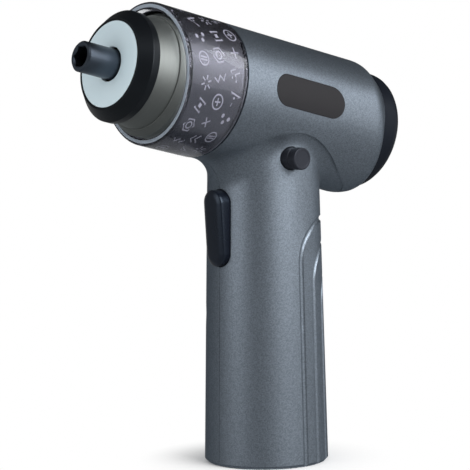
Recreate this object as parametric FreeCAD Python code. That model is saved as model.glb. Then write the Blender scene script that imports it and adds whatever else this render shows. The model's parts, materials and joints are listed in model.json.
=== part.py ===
import FreeCAD
import Part

import math
import os

# Pistol-grip cordless screwdriver, in millimetres.
# The handle stands on its base along +Z, with the origin at the middle of the base.
# The barrel crosses the handle axis at barrel_height and is raked up at the front, along its own x axis.
# "Station" means a distance along the barrel axis from the handle axis, positive towards the bit.

Vector = FreeCAD.Vector
X_AXIS = Vector(1, 0, 0)
Y_AXIS = Vector(0, 1, 0)
Z_AXIS = Vector(0, 0, 1)

# General fits
moulded_gap = 0.2
sliding_gap = 0.3
running_gap = 0.05
press_gap = 0.02
seam_gap = 0.12
overrun = 1.0

# Barrel and handle outlines
barrel_radius = 23.0
barrel_over_trigger = 40.4
barrel_rake_deg = 12.9
barrel_tail = 38.0
tail_round = 8.0
tail_lip_drop = 2.35
cover_joint = 26.5
handle_neck_inset = 4.58
handle_flare = 2.64
base_edge_round = 1.0
shell_wall = 2.4
floor_thickness = 2.4

# Saddle, the shallow oval scoop where the handle grows out of the barrel
saddle_length = 61.5
saddle_width_share = 0.922
saddle_offset = -3.0
saddle_depth = 1.6
saddle_drop = 1.4
neck_round_share = 0.8936
neck_round_rear = 1.6

# Grip grooves, nested round the back of the handle
groove_count = 3
groove_front_place = 0.6
groove_over_trigger = 2.2
groove_bend = 14.0
groove_step_back = 6.1
groove_step_down = 7.4
groove_width = 2.2
groove_depth = 0.6
groove_arcs = 4
groove_dense_steps = 400

# Clear nose cover and the printed film rolled inside it
cover_length = 28.0
cover_wall = 2.2
cover_edge_round = 0.9
cover_inner_round = 0.5
cover_spigot_length = 4.5
cover_spigot_wall = 1.5
cover_joint_gap = 0.6
gasket_inset = 0.25
film_thickness = 0.3
film_length = 22.5

# Lamp: bezel, diffuser, board and its diodes
bezel_stand = 5.0
bezel_depth = 6.3
bezel_overhang = 1.4
bezel_band = 2.8
bezel_taper = 3.35
bezel_rim = 0.4
bezel_edge_round = 0.8
bezel_lip = 0.75
diffuser_thickness = 1.9
diffuser_hole_gap = 0.6
diffuser_dish = 0.35
lamp_board_edge_gap = 0.3
lamp_board_hole_radius = 6.6
lamp_board_thickness = 1.0
lamp_board_gap = 0.1
diode_count = 6
diode_size = 2.8
diode_height = 0.8

# Nose cone, the plated gear case front
cone_film_gap = 0.9
cone_shoulder_width = 2.4
cone_shoulder_setback = 8.6
cone_flare = 2.0
cone_ledge_taper = 1.0
cone_ledge_setback = 2.6
cone_ledge_step = 0.5
cone_throat_taper = 3.0
cone_boss_step = 3.6
cone_boss_length = 1.9
cone_wall = 2.2
cone_core_radius = 9.6

# Output spindle with the bit socket
chuck_radius = 5.04
chuck_proud = 11.5
chuck_length = 27.0
chuck_edge = 0.5
socket_across_flats = 6.4
socket_depth = 14.0
socket_chamfer = 0.5
magnet_radius = 2.9
magnet_length = 4.0
shaft_radius = 4.0
spindle_square = 5.6
bush_length = 8.0
bush_wall = 3.0
clip_width = 0.8
clip_radius = 6.8
clip_groove_depth = 0.45
clip_setback = 0.4
bearing_width = 5.0
bearing_radius = 8.0
bearing_race = 1.3
bearing_ball_gap = 0.15

# Two-stage planetary gears
sun_teeth = 9
planet_teeth = 15
planet_count = 3
pressure_angle_deg = 20.0
addendum_share = 0.7
dedendum_share = 1.0
flank_gap = 0.07
ring_rib_height = 2.4
ring_wall = 1.8
ring_length = 21.5
planet_width = 5.6
stage_gap = 0.3
carrier_rim = 3.6
carrier_thickness = 2.4
planet_pin_radius = 1.25
plate_thickness = 2.0
plate_station = 4.0

# Motor
motor_bore_share = 0.5922
motor_length = 28.0
motor_wall = 1.0
motor_hub_radius = 4.6
motor_hub_length = 1.6
motor_shaft_radius = 1.15
motor_shaft_tail = 3.0
motor_bush_radius = 2.6
motor_bush_length = 2.6
end_bell_thickness = 3.0
end_bell_hub_length = 2.0
magnet_arc_thickness = 2.0
magnet_arc_length = 18.0
magnet_arc_deg = 140.0
air_gap = 0.5
armature_length = 16.0
armature_slots = 3
armature_hub_radius = 3.4
armature_tooth_width = 4.2
armature_shoe = 1.9
armature_shoe_deg = 104.0
commutator_radius = 3.0
commutator_length = 4.0
brush_length = 4.5
brush_width = 2.4
motor_screw_radius = 1.2
motor_screw_head_radius = 2.1
motor_screw_head_length = 1.2
motor_screw_depth = 2.6
motor_screw_hub_gap = 1.5

# Rear cap
cap_proud = 8.9
cap_plug_length = 7.0
cap_wall = 2.2
cap_edge_round = 4.0
cap_dish_depth = 0.8
cap_dish_rim = 2.9
cap_bead_width = 1.0
cap_bead_height = 0.6
cap_bead_setback = 4.0

# Trigger and its spring and switch
trigger_middle = 80.1
trigger_length = 25.6
trigger_width = 9.2
trigger_proud_top = 4.3
trigger_proud_bottom = 2.3
trigger_travel = 2.0
trigger_edge_round = 0.8
trigger_flange = 1.2
trigger_flange_thickness = 1.6
trigger_seat_gap = 0.3
spring_drop = 7.0
spring_radius = 2.2
spring_wire = 0.6
spring_turns = 5
switch_rise = 1.5
switch_size = 6.0
switch_depth_share = 0.613
plunger_radius = 1.6
plunger_gap = 0.25

# Direction selector, a bar that pushes through from side to side
selector_place = 3.4
selector_motor_gap = 1.4
selector_radius = 3.7
selector_travel = 4.1
selector_left_proud = 1.3
selector_flush = 0.5
selector_edge = 0.45
selector_lug_width = 2.0
selector_lug_drop = 1.0
selector_lug_length = 3.0
selector_switch_length = 11.0
selector_switch_width = 6.6
selector_switch_height = 4.0

# Handle contents: cell, board, tabs and charging socket
cell_share = 0.5743
cell_length = 65.0
cell_lift = 8.0
cell_wall_gap = 1.06
cell_cap_radius = 3.0
cell_cap_height = 1.0
tab_width = 5.0
tab_thickness = 0.3
board_thickness = 1.2
board_width = 20.0
board_gap = 0.3
board_lift = 4.0
port_width = 8.9
port_height = 3.2
port_depth = 7.3
port_wall = 0.3
port_recess = 0.6
port_tongue = 0.7
port_tongue_share = 0.667
rib_thickness = 1.6
rib_low_level = 20.0
rib_trigger_gap = 6.5

# Housing screws and their bosses
boss_radius = 2.7
screw_radius = 1.3
screw_head_radius = 2.3
screw_head_length = 1.8
screw_seat_side = 8.0
screw_reach = 7.0
screw_recess_depth = 0.8
screw_recess_radius = 1.0
handle_screw_board_gap = 5.0
handle_screw_low_level = 31.0
handle_screw_trigger_gap = 13.4
under_screw_station = -21.0
over_screw_rear_station = -22.0
over_screw_front_station = -1.2

# Name plate, left bare
plate_place = -1.2
plate_rise = 3.4
plate_length = 30.6
plate_width = 10.6
plate_inlay = 0.9
plate_proud = 0.12
plate_gap = 0.1

# Ribs round the gear case and the motor
ring_rib_width = 2.0
ring_rib_rear_station = 9.0
ring_rib_front_station = 16.0
motor_rib_station = -15.0

# Sizes that follow from the ones above
barrel_height = trigger_middle + barrel_over_trigger
handle_crown_radius = barrel_radius - handle_neck_inset
handle_base_radius = handle_crown_radius + handle_flare


def handle_radius(level):
    """Outer radius of the handle at a height above the base."""
    return handle_base_radius + (handle_crown_radius - handle_base_radius) * level / barrel_height


bore_radius = barrel_radius - shell_wall
tail_opening_radius = barrel_radius - tail_lip_drop
saddle_width = 2 * barrel_radius * saddle_width_share
rake = math.radians(barrel_rake_deg)
neck_station = (handle_crown_radius - barrel_radius * math.sin(rake)) / math.cos(rake)
saddle_front = min(saddle_offset + saddle_length / 2, cover_joint)
neck_round_front = (saddle_front - neck_station) * neck_round_share
groove_top = trigger_middle + groove_over_trigger
groove_radius = ((groove_width / 2) ** 2 + groove_depth ** 2) / (2 * groove_depth)
cover_rim = cover_joint + cover_length
bezel_rear = cover_rim + bezel_stand
lamp_face = bezel_rear + bezel_depth
chuck_tip = lamp_face + chuck_proud
chuck_rear = chuck_tip - chuck_length
cover_bore = barrel_radius - cover_wall
ring_radius = bore_radius - ring_rib_height
cone_shoulder_radius = cover_bore - cone_film_gap
cone_ledge_radius = cone_shoulder_radius - cone_ledge_taper
cone_throat_radius = cone_shoulder_radius - cone_throat_taper
cone_boss_radius = cone_throat_radius - cone_boss_step
bezel_radius = cone_throat_radius + bezel_overhang
bezel_lip_radius = bezel_radius - bezel_taper
diffuser_radius = bezel_lip_radius - bezel_lip
lamp_board_radius = cone_boss_radius - lamp_board_edge_gap
diode_circle_radius = (lamp_board_radius + lamp_board_hole_radius) / 2
ring_front = plate_station + plate_thickness + ring_length
first_stage = plate_station + plate_thickness + stage_gap
first_carrier = first_stage + planet_width + stage_gap
second_stage = first_carrier + carrier_thickness + stage_gap
output_carrier = second_stage + planet_width + stage_gap
ring_teeth = sun_teeth + 2 * planet_teeth
gear_module = (ring_radius - ring_wall) / (ring_teeth / 2 + dedendum_share)
planet_circle = gear_module * (sun_teeth + planet_teeth) / 2
carrier_radius = planet_circle + carrier_rim
bush_front = bezel_rear + cone_boss_length
bush_rear = bush_front - bush_length
motor_rear = plate_station - motor_length
motor_radius = bore_radius * motor_bore_share
motor_screw_circle = motor_hub_radius + motor_screw_head_radius + motor_screw_hub_gap
barrel_screw_drop = (bore_radius + motor_radius) / 2
cell_radius = (handle_crown_radius - shell_wall) * cell_share
cell_place = cell_radius + cell_wall_gap + shell_wall - handle_radius(cell_lift + cell_length)
cell_front = cell_place + cell_radius
board_front = cell_front + board_gap + board_thickness
handle_screw_place = board_front + boss_radius + handle_screw_board_gap
selector_height = barrel_height - motor_radius - selector_motor_gap - selector_radius
board_top = selector_height - selector_radius - selector_lug_drop - sliding_gap - selector_switch_height
trigger_foot = trigger_middle - trigger_length / 2 - trigger_flange
rib_high_level = trigger_foot - rib_thickness - rib_trigger_gap
handle_screw_high_level = trigger_foot - boss_radius - handle_screw_trigger_gap
switch_level = trigger_middle + switch_rise
spring_level = trigger_middle - spring_drop


def along_barrel(shape):
    """Moves a shape from the barrel's own frame to the tool's frame."""
    placed = shape.copy()
    placed.rotate(Vector(0, 0, 0), Y_AXIS, -barrel_rake_deg)
    placed.translate(Vector(0, 0, barrel_height))
    return placed


def rounded_corner(before, corner, after, radius):
    """Start, middle and end of the arc that rounds one corner of an outline."""
    back = (before - corner).normalize()
    ahead = (after - corner).normalize()
    half_angle = back.getAngle(ahead) / 2
    inward = (back + ahead).normalize()
    run = radius / math.tan(half_angle)
    middle = corner + inward * (radius / math.sin(half_angle) - radius)
    return [corner + back * run, middle, corner + ahead * run]


def revolve(profile, axis=X_AXIS):
    """Turns a closed outline about an axis.

    Points are (along the axis, radius), and a third number rounds the corner.
    """
    corners = [Vector(p[0], p[1], 0) if axis == X_AXIS else Vector(p[1], 0, p[0]) for p in profile]
    stops = []
    for k, (_, _, *corner_round) in enumerate(profile):
        after = corners[(k + 1) % len(corners)]
        if corner_round:
            stops.append(rounded_corner(corners[k - 1], corners[k], after, *corner_round))
        else:
            stops.append([corners[k]])
    edges = []
    for k, stop in enumerate(stops):
        if len(stop) > 1:
            edges.append(Part.Arc(*stop).toShape())
        edges.append(Part.makeLine(stop[-1], stops[(k + 1) % len(stops)][0]))
    return Part.Face(Part.Wire(edges)).revolve(Vector(0, 0, 0), axis, 360)


def rod(start, length, radius, across=0, up=0):
    """A cylinder along the barrel axis."""
    return Part.makeCylinder(radius, length, Vector(start, across, up), X_AXIS)


def ring(start, length, outer, inner):
    return rod(start, length, outer).cut(rod(start - overrun, length + 2 * overrun, inner))


def box(x0, x1, y0, y1, z0, z1):
    return Part.makeBox(x1 - x0, y1 - y0, z1 - z0, Vector(x0, y0, z0))


def stadium(length, width, origin, along, across):
    """A flat face with two straight sides and two round ends."""
    half = (length - width) / 2
    r = width / 2
    corner = lambda a, b: origin + along * a + across * b
    edges = [
        Part.makeLine(corner(-half, -r), corner(half, -r)),
        Part.Arc(corner(half, -r), corner(half + r, 0), corner(half, r)).toShape(),
        Part.makeLine(corner(half, r), corner(-half, r)),
        Part.Arc(corner(-half, r), corner(-half - r, 0), corner(-half, -r)).toShape(),
    ]
    return Part.Face(Part.Wire(edges))


def fuse_all(shapes):
    joined = shapes[0].multiFuse(shapes[1:]) if len(shapes) > 1 else shapes[0]
    return joined.removeSplitter()


def half_space(side):
    """The half of the tool on the left (side 1) or the right (side -1) of the parting plane."""
    reach = barrel_height + barrel_tail + chuck_tip
    near = side * seam_gap / 2
    far = side * reach
    return box(-reach, reach, min(near, far), max(near, far), -reach, 2 * reach)


# Moulded housing

def barrel_outside():
    """The barrel's outside, round at the tail."""
    centre_x = tail_round - barrel_tail - (tail_round - math.sqrt(
        tail_round ** 2 - (tail_opening_radius - barrel_radius + tail_round) ** 2))
    centre_r = barrel_radius - tail_round
    end_angle = math.asin((tail_opening_radius - centre_r) / tail_round)
    half_way = (math.pi / 2 + end_angle) / 2
    on_arc = lambda a: Vector(centre_x - tail_round * math.cos(a), centre_r + tail_round * math.sin(a), 0)
    tail = on_arc(end_angle)
    front = Vector(cover_joint, barrel_radius, 0)
    edges = [
        Part.makeLine(Vector(cover_joint, 0, 0), front),
        Part.makeLine(front, on_arc(math.pi / 2)),
        Part.Arc(on_arc(math.pi / 2), on_arc(half_way), tail).toShape(),
        Part.makeLine(tail, Vector(tail.x, 0, 0)),
        Part.makeLine(Vector(tail.x, 0, 0), Vector(cover_joint, 0, 0)),
    ]
    return Part.Face(Part.Wire(edges)).revolve(Vector(0, 0, 0), X_AXIS, 360)


def saddle_scoop():
    """The thin oval layer taken off the barrel round the handle, deepest at the flanks."""
    oval = Part.Ellipse(Vector(saddle_offset, 0, 0), saddle_length / 2, saddle_width / 2)
    column = Part.Face(Part.Wire(oval.toShape())).extrude(Vector(0, 0, -barrel_radius - overrun))
    core = rod(-saddle_length, 2 * saddle_length, barrel_radius - saddle_depth, 0, -saddle_drop)
    return along_barrel(column.cut(core))


def handle_outside():
    e = base_edge_round
    top = barrel_height
    profile = [(0, 0), (0, handle_radius(0) - e), (e, handle_radius(e)), (top, handle_radius(top)), (top, 0)]
    return revolve(profile, Z_AXIS)


def groove_reach(level):
    """Radius at which the middle of a groove's bar runs, so that the bar sinks in by the groove's depth."""
    return handle_radius(level) + groove_radius - groove_depth


def groove_bend_line(place, top):
    """Dense points of one groove's bend on the handle, from the left flank to the back."""
    bend_place = place - groove_bend
    bend_level = top - groove_bend
    start = math.acos(place / groove_reach(bend_level))
    level = bend_level
    points = []
    for k in range(groove_dense_steps + 1):
        angle = start + (math.pi - start) * (k / groove_dense_steps) ** 2
        along = max(groove_reach(level) * math.cos(angle) - bend_place, 0)
        level = bend_level + math.sqrt(max(groove_bend ** 2 - along ** 2, 0))
        reach = groove_reach(level)
        points.append(Vector(reach * math.cos(angle), reach * math.sin(angle), level))
    return points


def even_stops(points, count):
    """Picks points an even way apart along a dense line of points."""
    runs = [0]
    for near, far in zip(points, points[1:]):
        runs.append(runs[-1] + (far - near).Length)
    goals = [runs[-1] * k / (count - 1) for k in range(count)]
    return [points[min(range(len(runs)), key=lambda i: abs(runs[i] - goal))] for goal in goals]


def grip_grooves(side):
    """Round-bottomed grooves for one half: a bar swept up the far flank, over the back and down the near flank."""
    flank = lambda point, way: Vector(point.x, way * point.y, point.z)
    bars = []
    for k in range(groove_count):
        place = groove_front_place - k * groove_step_back
        bend = even_stops(groove_bend_line(place, groove_top - k * groove_step_down), 2 * groove_arcs + 1)
        stops = [flank(p, -side) for p in bend] + [flank(p, side) for p in reversed(bend[:-1])]
        foot = Vector(place, math.sqrt(groove_reach(-overrun) ** 2 - place ** 2), -overrun)
        start = flank(foot, -side)
        edges = [Part.makeLine(start, stops[0])]
        edges += [Part.Arc(*stops[j:j + 3]).toShape() for j in range(0, len(stops) - 1, 2)]
        edges.append(Part.makeLine(stops[-1], flank(foot, side)))
        section = Part.Wire(Part.makeCircle(groove_radius, start, stops[0] - start))
        bars.append(Part.Wire(edges).makePipeShell([section], True, False))
    return bars


def housing_inside():
    """The room inside the housing: the barrel's bore and the handle's hollow."""
    length = barrel_tail + tail_round + cover_joint + overrun
    bore = along_barrel(rod(-barrel_tail - tail_round, length, bore_radius))
    low, high = floor_thickness, barrel_height
    low_radius, high_radius = handle_radius(low) - shell_wall, handle_radius(high) - shell_wall
    profile = [(low, 0), (low, low_radius), (high, high_radius), (high, 0)]
    return bore.fuse(revolve(profile, Z_AXIS))


def wall_middle():
    """The housing's room grown by half a wall, where ribs and bosses end."""
    half = shell_wall / 2
    bore = along_barrel(rod(-barrel_tail, barrel_tail + cover_joint, bore_radius + half))
    low, high = floor_thickness - half, barrel_height
    profile = [(low, 0), (low, handle_radius(low) - half), (high, handle_radius(high) - half), (high, 0)]
    return bore.fuse(revolve(profile, Z_AXIS)).removeSplitter()


def barrel_ribs():
    """Rings inside the barrel that hold the ring gear and the motor, and the bead that keeps the rear cap."""
    wall = bore_radius + shell_wall / 2
    stations = (ring_rib_rear_station, ring_rib_front_station)
    ribs = [ring(s, ring_rib_width, wall, ring_radius + moulded_gap) for s in stations]
    ribs.append(ring(motor_rib_station, ring_rib_width, wall, motor_radius + moulded_gap))
    ribs.append(ring(cap_bead_setback - barrel_tail, cap_bead_width, wall, bore_radius - cap_bead_height))
    return [along_barrel(r) for r in ribs]


def handle_ribs():
    """Flat webs across the handle that cradle the cell and the board."""
    cell = Part.makeCylinder(cell_radius + moulded_gap, barrel_height, Vector(cell_place, 0, 0))
    slot = box(cell_front - overrun, board_front + moulded_gap,
               -board_width / 2 - moulded_gap, board_width / 2 + moulded_gap, 0, barrel_height)
    webs = []
    for level in (rib_low_level, rib_high_level):
        web = Part.makeCylinder(handle_radius(level) - shell_wall / 2, rib_thickness, Vector(0, 0, level))
        webs.append(web.cut(cell).cut(slot))
    return webs


def screw_places():
    """Where the housing screws cross the parting plane, in the tool's frame."""
    levels = (handle_screw_low_level, handle_screw_high_level)
    spots = [
        Part.Vertex(under_screw_station, 0, -barrel_screw_drop),
        Part.Vertex(over_screw_rear_station, 0, barrel_screw_drop),
        Part.Vertex(over_screw_front_station, 0, barrel_screw_drop),
    ]
    in_handle = [Vector(handle_screw_place, 0, level) for level in levels]
    return in_handle + [along_barrel(spot).Point for spot in spots]


def trigger_window(grow):
    """The round-ended opening in the handle's front, grown by a gap."""
    middle = Vector(0, 0, trigger_middle)
    face = stadium(trigger_length + 2 * grow, trigger_width + 2 * grow, middle, Z_AXIS, Y_AXIS)
    return face.extrude(Vector(2 * handle_base_radius, 0, 0))


def port_window(grow):
    """The charging socket's opening in the floor."""
    middle = Vector(board_front + port_height / 2, 0, -overrun)
    face = stadium(port_width + 2 * grow, port_height + 2 * grow, middle, Y_AXIS, X_AXIS)
    return face.extrude(Vector(0, 0, port_depth + floor_thickness + overrun))


def plate_block(depth, grow):
    """A round-ended block on the barrel's left flank, from a given depth under the surface outwards."""
    middle = Vector(plate_place, 0, plate_rise)
    face = stadium(plate_length + 2 * grow, plate_width + 2 * grow, middle, X_AXIS, Z_AXIS)
    block = face.extrude(Vector(0, barrel_radius + overrun, 0))
    return block.cut(rod(-barrel_tail, 2 * barrel_tail, barrel_radius - depth))


def housing_half(side):
    """One moulded half of the housing: side 1 is the left, side -1 the right."""
    half = half_space(side)
    barrel = along_barrel(barrel_outside()).cut(saddle_scoop()).common(half)
    handle = handle_outside().common(half)
    outside = barrel.fuse(handle).removeSplitter()
    outside = round_neck(outside)
    solid = outside.cut(housing_inside())
    inside = wall_middle().common(half)
    added = [r.common(inside) for r in barrel_ribs() + handle_ribs()]
    for place in screw_places():
        added.append(Part.makeCylinder(boss_radius, 2 * barrel_radius, place, Y_AXIS * side).common(inside))
    solid = fuse_all([solid] + added)
    cuts = grip_grooves(side)
    cuts.append(trigger_window(sliding_gap))
    cuts.append(port_window(moulded_gap))
    cuts.append(Part.makeCylinder(selector_radius + sliding_gap, 4 * barrel_radius,
                                  Vector(selector_place, -2 * barrel_radius, selector_height), Y_AXIS))
    for place in screw_places():
        cuts.append(Part.makeCylinder(screw_radius + running_gap, screw_seat_side + screw_reach + overrun,
                                      place - Y_AXIS * screw_seat_side, Y_AXIS))
        cuts.append(Part.makeCylinder(screw_head_radius + moulded_gap, 2 * barrel_radius,
                                      place - Y_AXIS * screw_seat_side, -Y_AXIS))
    if side > 0:
        cuts.append(along_barrel(plate_block(plate_inlay, plate_gap)))
    for cut in cuts:
        solid = solid.cut(cut)
    return largest(solid)


def largest(shape):
    return max(shape.Solids, key=lambda s: s.Volume)


def round_neck(outside):
    """Rounds the corner between handle and barrel, wide in front and narrow behind."""
    scooped = barrel_radius - saddle_depth
    axis_start = along_barrel(Part.Vertex(0, 0, -saddle_drop)).Point
    axis = along_barrel(Part.Vertex(1, 0, -saddle_drop)).Point - axis_start
    corner = []
    for edge in outside.Edges:
        middle = edge.valueAt((edge.FirstParameter + edge.LastParameter) / 2)
        off_barrel = middle.distanceToLine(axis_start, axis)
        off_handle = math.hypot(middle.x, middle.y) - handle_radius(middle.z)
        if abs(off_barrel - scooped) < running_gap and abs(off_handle) < running_gap:
            corner.append(edge)
    edge = max(corner, key=lambda e: e.Length)
    first = edge.valueAt(edge.FirstParameter)
    radii = (neck_round_front, neck_round_rear) if first.x > 0 else (neck_round_rear, neck_round_front)
    return outside.makeFillet(radii[0], radii[1], [edge])


def name_plate():
    """The bare plate let into the left flank, curved with the barrel."""
    block = plate_block(plate_inlay, 0)
    return along_barrel(block.common(rod(-barrel_tail, 2 * barrel_tail, barrel_radius + plate_proud)))


def rear_cap():
    """Hollow plug that closes the barrel's tail."""
    face = -barrel_tail - cap_proud
    mouth = cap_plug_length - barrel_tail
    r = bore_radius - moulded_gap
    e = cap_edge_round
    body = revolve([
        (face + cap_dish_depth, 0), (face, r - e - cap_dish_rim), (face, r, e), (mouth, r),
        (mouth, r - cap_wall), (face + e, r - cap_wall), (face + e, 0),
    ])
    bead = ring(cap_bead_setback - barrel_tail - moulded_gap, cap_bead_width + 2 * moulded_gap,
                barrel_radius, bore_radius - cap_bead_height - moulded_gap)
    return along_barrel(body.cut(bead))


# Nose: clear cover, film, cone and lamp

def clear_nose_cover():
    """Clear tube with a rounded rim and a spigot that plugs into the barrel."""
    rear = cover_joint + cover_joint_gap
    spigot_radius = bore_radius - moulded_gap
    tube = revolve([(rear, cover_bore), (rear, barrel_radius), (cover_rim, barrel_radius, cover_edge_round),
                    (cover_rim, cover_bore, cover_inner_round)])
    spigot = ring(cover_joint - cover_spigot_length, cover_spigot_length + cover_joint_gap + cover_wall,
                  spigot_radius, spigot_radius - cover_spigot_wall)
    return along_barrel(fuse_all([tube, spigot]))


def joint_gasket():
    """Thin black ring in the joint between the barrel and the clear cover."""
    return along_barrel(ring(cover_joint, cover_joint_gap, barrel_radius - gasket_inset, bore_radius))


def printed_film():
    rear = cover_joint + cover_joint_gap + cover_wall + running_gap
    outer = cover_bore - running_gap
    return along_barrel(ring(rear, film_length, outer, outer - film_thickness))


def nose_cone():
    """Plated gear case front: a cup with a core that carries the spindle."""
    shoulder = cover_rim - cone_shoulder_setback
    ledge = cover_rim - cone_ledge_setback
    outside = [
        (ring_front, 0), (ring_front, ring_radius),
        (shoulder - cone_flare, ring_radius), (shoulder, cone_shoulder_radius),
        (shoulder + cone_shoulder_width, cone_shoulder_radius),
        (ledge, cone_ledge_radius), (ledge, cone_ledge_radius - cone_ledge_step),
        (bezel_rear, cone_throat_radius), (bezel_rear, cone_boss_radius),
        (bush_front, cone_boss_radius), (bush_front, 0),
    ]
    body = revolve(outside)
    pocket = ring(ring_front - overrun, bush_rear - cone_wall - ring_front + overrun,
                  ring_radius - cone_wall, cone_core_radius)
    body = body.cut(pocket)
    through = bush_front - ring_front + 2 * overrun
    body = body.cut(rod(ring_front - overrun, through, chuck_radius + sliding_gap))
    body = body.cut(rod(bush_rear, bush_front - bush_rear + overrun, chuck_radius + running_gap + bush_wall))
    body = body.cut(rod(bush_rear - 2 * clip_width - clip_setback, 2 * clip_width + clip_setback + overrun,
                        clip_radius + sliding_gap))
    body = body.cut(rod(ring_front - overrun, bearing_width + overrun, bearing_radius))
    return along_barrel(body)


def lamp_bezel():
    """Black ring round the lamp: a short band, then a cone to the lip."""
    ledge = lamp_face - diffuser_thickness
    profile = [
        (bezel_rear, cone_boss_radius + running_gap), (bezel_rear, bezel_radius, bezel_rim),
        (bezel_rear + bezel_band, bezel_radius, bezel_edge_round),
        (lamp_face, bezel_lip_radius, bezel_rim), (lamp_face, diffuser_radius + running_gap),
        (ledge, diffuser_radius + running_gap), (ledge, cone_boss_radius + running_gap),
    ]
    return along_barrel(revolve(profile))


def lamp_diffuser():
    """White disc in front of the diodes, dished a little towards the spindle."""
    hole = chuck_radius + diffuser_hole_gap
    ledge = lamp_face - diffuser_thickness
    middle = lamp_face - diffuser_dish
    profile = [(ledge, hole), (middle, hole), (lamp_face, diffuser_radius), (ledge, diffuser_radius)]
    return along_barrel(revolve(profile))


def lamp_board():
    start = bush_front + lamp_board_gap
    return along_barrel(ring(start, lamp_board_thickness, lamp_board_radius, lamp_board_hole_radius))


def lamp_diodes():
    front = bush_front + lamp_board_gap + lamp_board_thickness
    chip = box(front, front + diode_height, -diode_size / 2, diode_size / 2,
               diode_circle_radius - diode_size / 2, diode_circle_radius + diode_size / 2)
    chips = []
    for k in range(diode_count):
        turned = chip.copy()
        turned.rotate(Vector(0, 0, 0), X_AXIS, 360 * k / diode_count)
        chips.append(turned)
    return along_barrel(Part.makeCompound(chips))


# Output spindle and what turns with it

def output_spindle():
    """Bit socket and shaft in one turned piece."""
    e = chuck_edge
    tail = output_carrier + carrier_thickness
    profile = [(tail, 0), (tail, shaft_radius), (chuck_rear, shaft_radius), (chuck_rear, chuck_radius),
               (chuck_tip - e, chuck_radius), (chuck_tip, chuck_radius - e), (chuck_tip, 0)]
    body = revolve(profile)
    square = box(output_carrier, tail + overrun, -spindle_square / 2, spindle_square / 2,
                 -spindle_square / 2, spindle_square / 2)
    body = fuse_all([body, square])
    body = body.cut(hex_socket())
    floor = chuck_tip - socket_depth
    body = body.cut(rod(floor - magnet_length, magnet_length + overrun, magnet_radius + press_gap))
    groove = bush_rear - clip_setback - clip_width
    body = body.cut(ring(groove, clip_width, chuck_radius + overrun, chuck_radius - clip_groove_depth))
    return along_barrel(body)


def hex_socket():
    """Six-sided hole with a chamfered mouth."""
    corner = socket_across_flats / (2 * math.cos(math.pi / 6))
    points = [Vector(chuck_tip - socket_depth, corner * math.cos(math.radians(60 * k)),
                     corner * math.sin(math.radians(60 * k))) for k in range(7)]
    hole = Part.Face(Part.makePolygon(points)).extrude(Vector(socket_depth + overrun, 0, 0))
    mouth = Part.makeCone(corner - socket_chamfer, corner + socket_chamfer, 2 * socket_chamfer,
                          Vector(chuck_tip - socket_chamfer, 0, 0), X_AXIS)
    return hole.fuse(mouth)


def bit_magnet():
    return along_barrel(rod(chuck_tip - socket_depth - magnet_length, magnet_length, magnet_radius))


def spindle_clip():
    """Split ring in the spindle's groove, behind the bush."""
    groove = bush_rear - clip_setback - clip_width
    clip = ring(groove + running_gap, clip_width - 2 * running_gap, clip_radius,
                chuck_radius - clip_groove_depth + running_gap)
    gap = box(groove, groove + clip_width, -shaft_radius / 2, shaft_radius / 2, 0, clip_radius + overrun)
    return along_barrel(clip.cut(gap))


def spindle_bush():
    inner = chuck_radius + running_gap
    return along_barrel(ring(bush_rear, bush_length, inner + bush_wall - press_gap, inner))


def spindle_bearing():
    """Ball bearing at the shaft's rear end, as two races with the balls' band between them."""
    outer = ring(ring_front, bearing_width, bearing_radius - press_gap, bearing_radius - bearing_race)
    inner_radius = shaft_radius + running_gap
    inner = ring(ring_front, bearing_width, inner_radius + bearing_race, inner_radius)
    middle = ring_front + bearing_width / 2
    low = inner_radius + bearing_race
    high = bearing_radius - bearing_race
    ball_radius = (high - low) / 2 - bearing_ball_gap
    balls = []
    for k in range(planet_count * 2):
        angle = math.radians(360 * k / (planet_count * 2))
        centre = Vector(middle, (low + high) / 2 * math.cos(angle), (low + high) / 2 * math.sin(angle))
        balls.append(Part.makeSphere(ball_radius, centre))
    return along_barrel(Part.makeCompound([outer, inner] + balls))


# Gears

def involute(angle):
    return math.tan(angle) - angle


def tooth_outline(teeth, inner, outer, thicken):
    """Closed outline of a gear with involute flanks, a tooth on the +y axis, as points about the x axis."""
    pitch = gear_module * teeth / 2
    base = pitch * math.cos(math.radians(pressure_angle_deg))
    half_pitch_angle = math.pi / (2 * teeth) + thicken / pitch + involute(math.radians(pressure_angle_deg))

    def half_angle(radius):
        return half_pitch_angle - involute(math.acos(min(1.0, base / radius)))

    flank = [inner, max(inner, base), max(pitch, inner), outer]
    flank = [r for k, r in enumerate(flank) if k == 0 or r > flank[k - 1]]
    points = []
    for t in range(teeth):
        centre = 2 * math.pi * t / teeth
        rising = [(r, centre - half_angle(r)) for r in flank]
        falling = [(r, centre + half_angle(r)) for r in reversed(flank)]
        points += [Vector(0, r * math.cos(a), r * math.sin(a)) for r, a in rising + falling]
    return Part.makePolygon(points + points[:1])


def spur(teeth, start, width, bore):
    """An external gear along the barrel axis."""
    pitch = gear_module * teeth / 2
    root = pitch - dedendum_share * gear_module
    tip = pitch + addendum_share * gear_module
    gear = Part.Face(tooth_outline(teeth, root, tip, -flank_gap)).extrude(Vector(width, 0, 0))
    gear.translate(Vector(start, 0, 0))
    if bore > 0:
        gear = gear.cut(rod(start - overrun, width + 2 * overrun, bore))
    return gear


def planet(start, index):
    """One planet gear of a stage, in mesh with the sun and the ring."""
    gear = spur(planet_teeth, start, planet_width, planet_pin_radius + running_gap)
    gear.translate(Vector(0, planet_circle, 0))
    gear.rotate(Vector(0, 0, 0), X_AXIS, 360 * index / planet_count)
    return along_barrel(gear)


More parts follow.
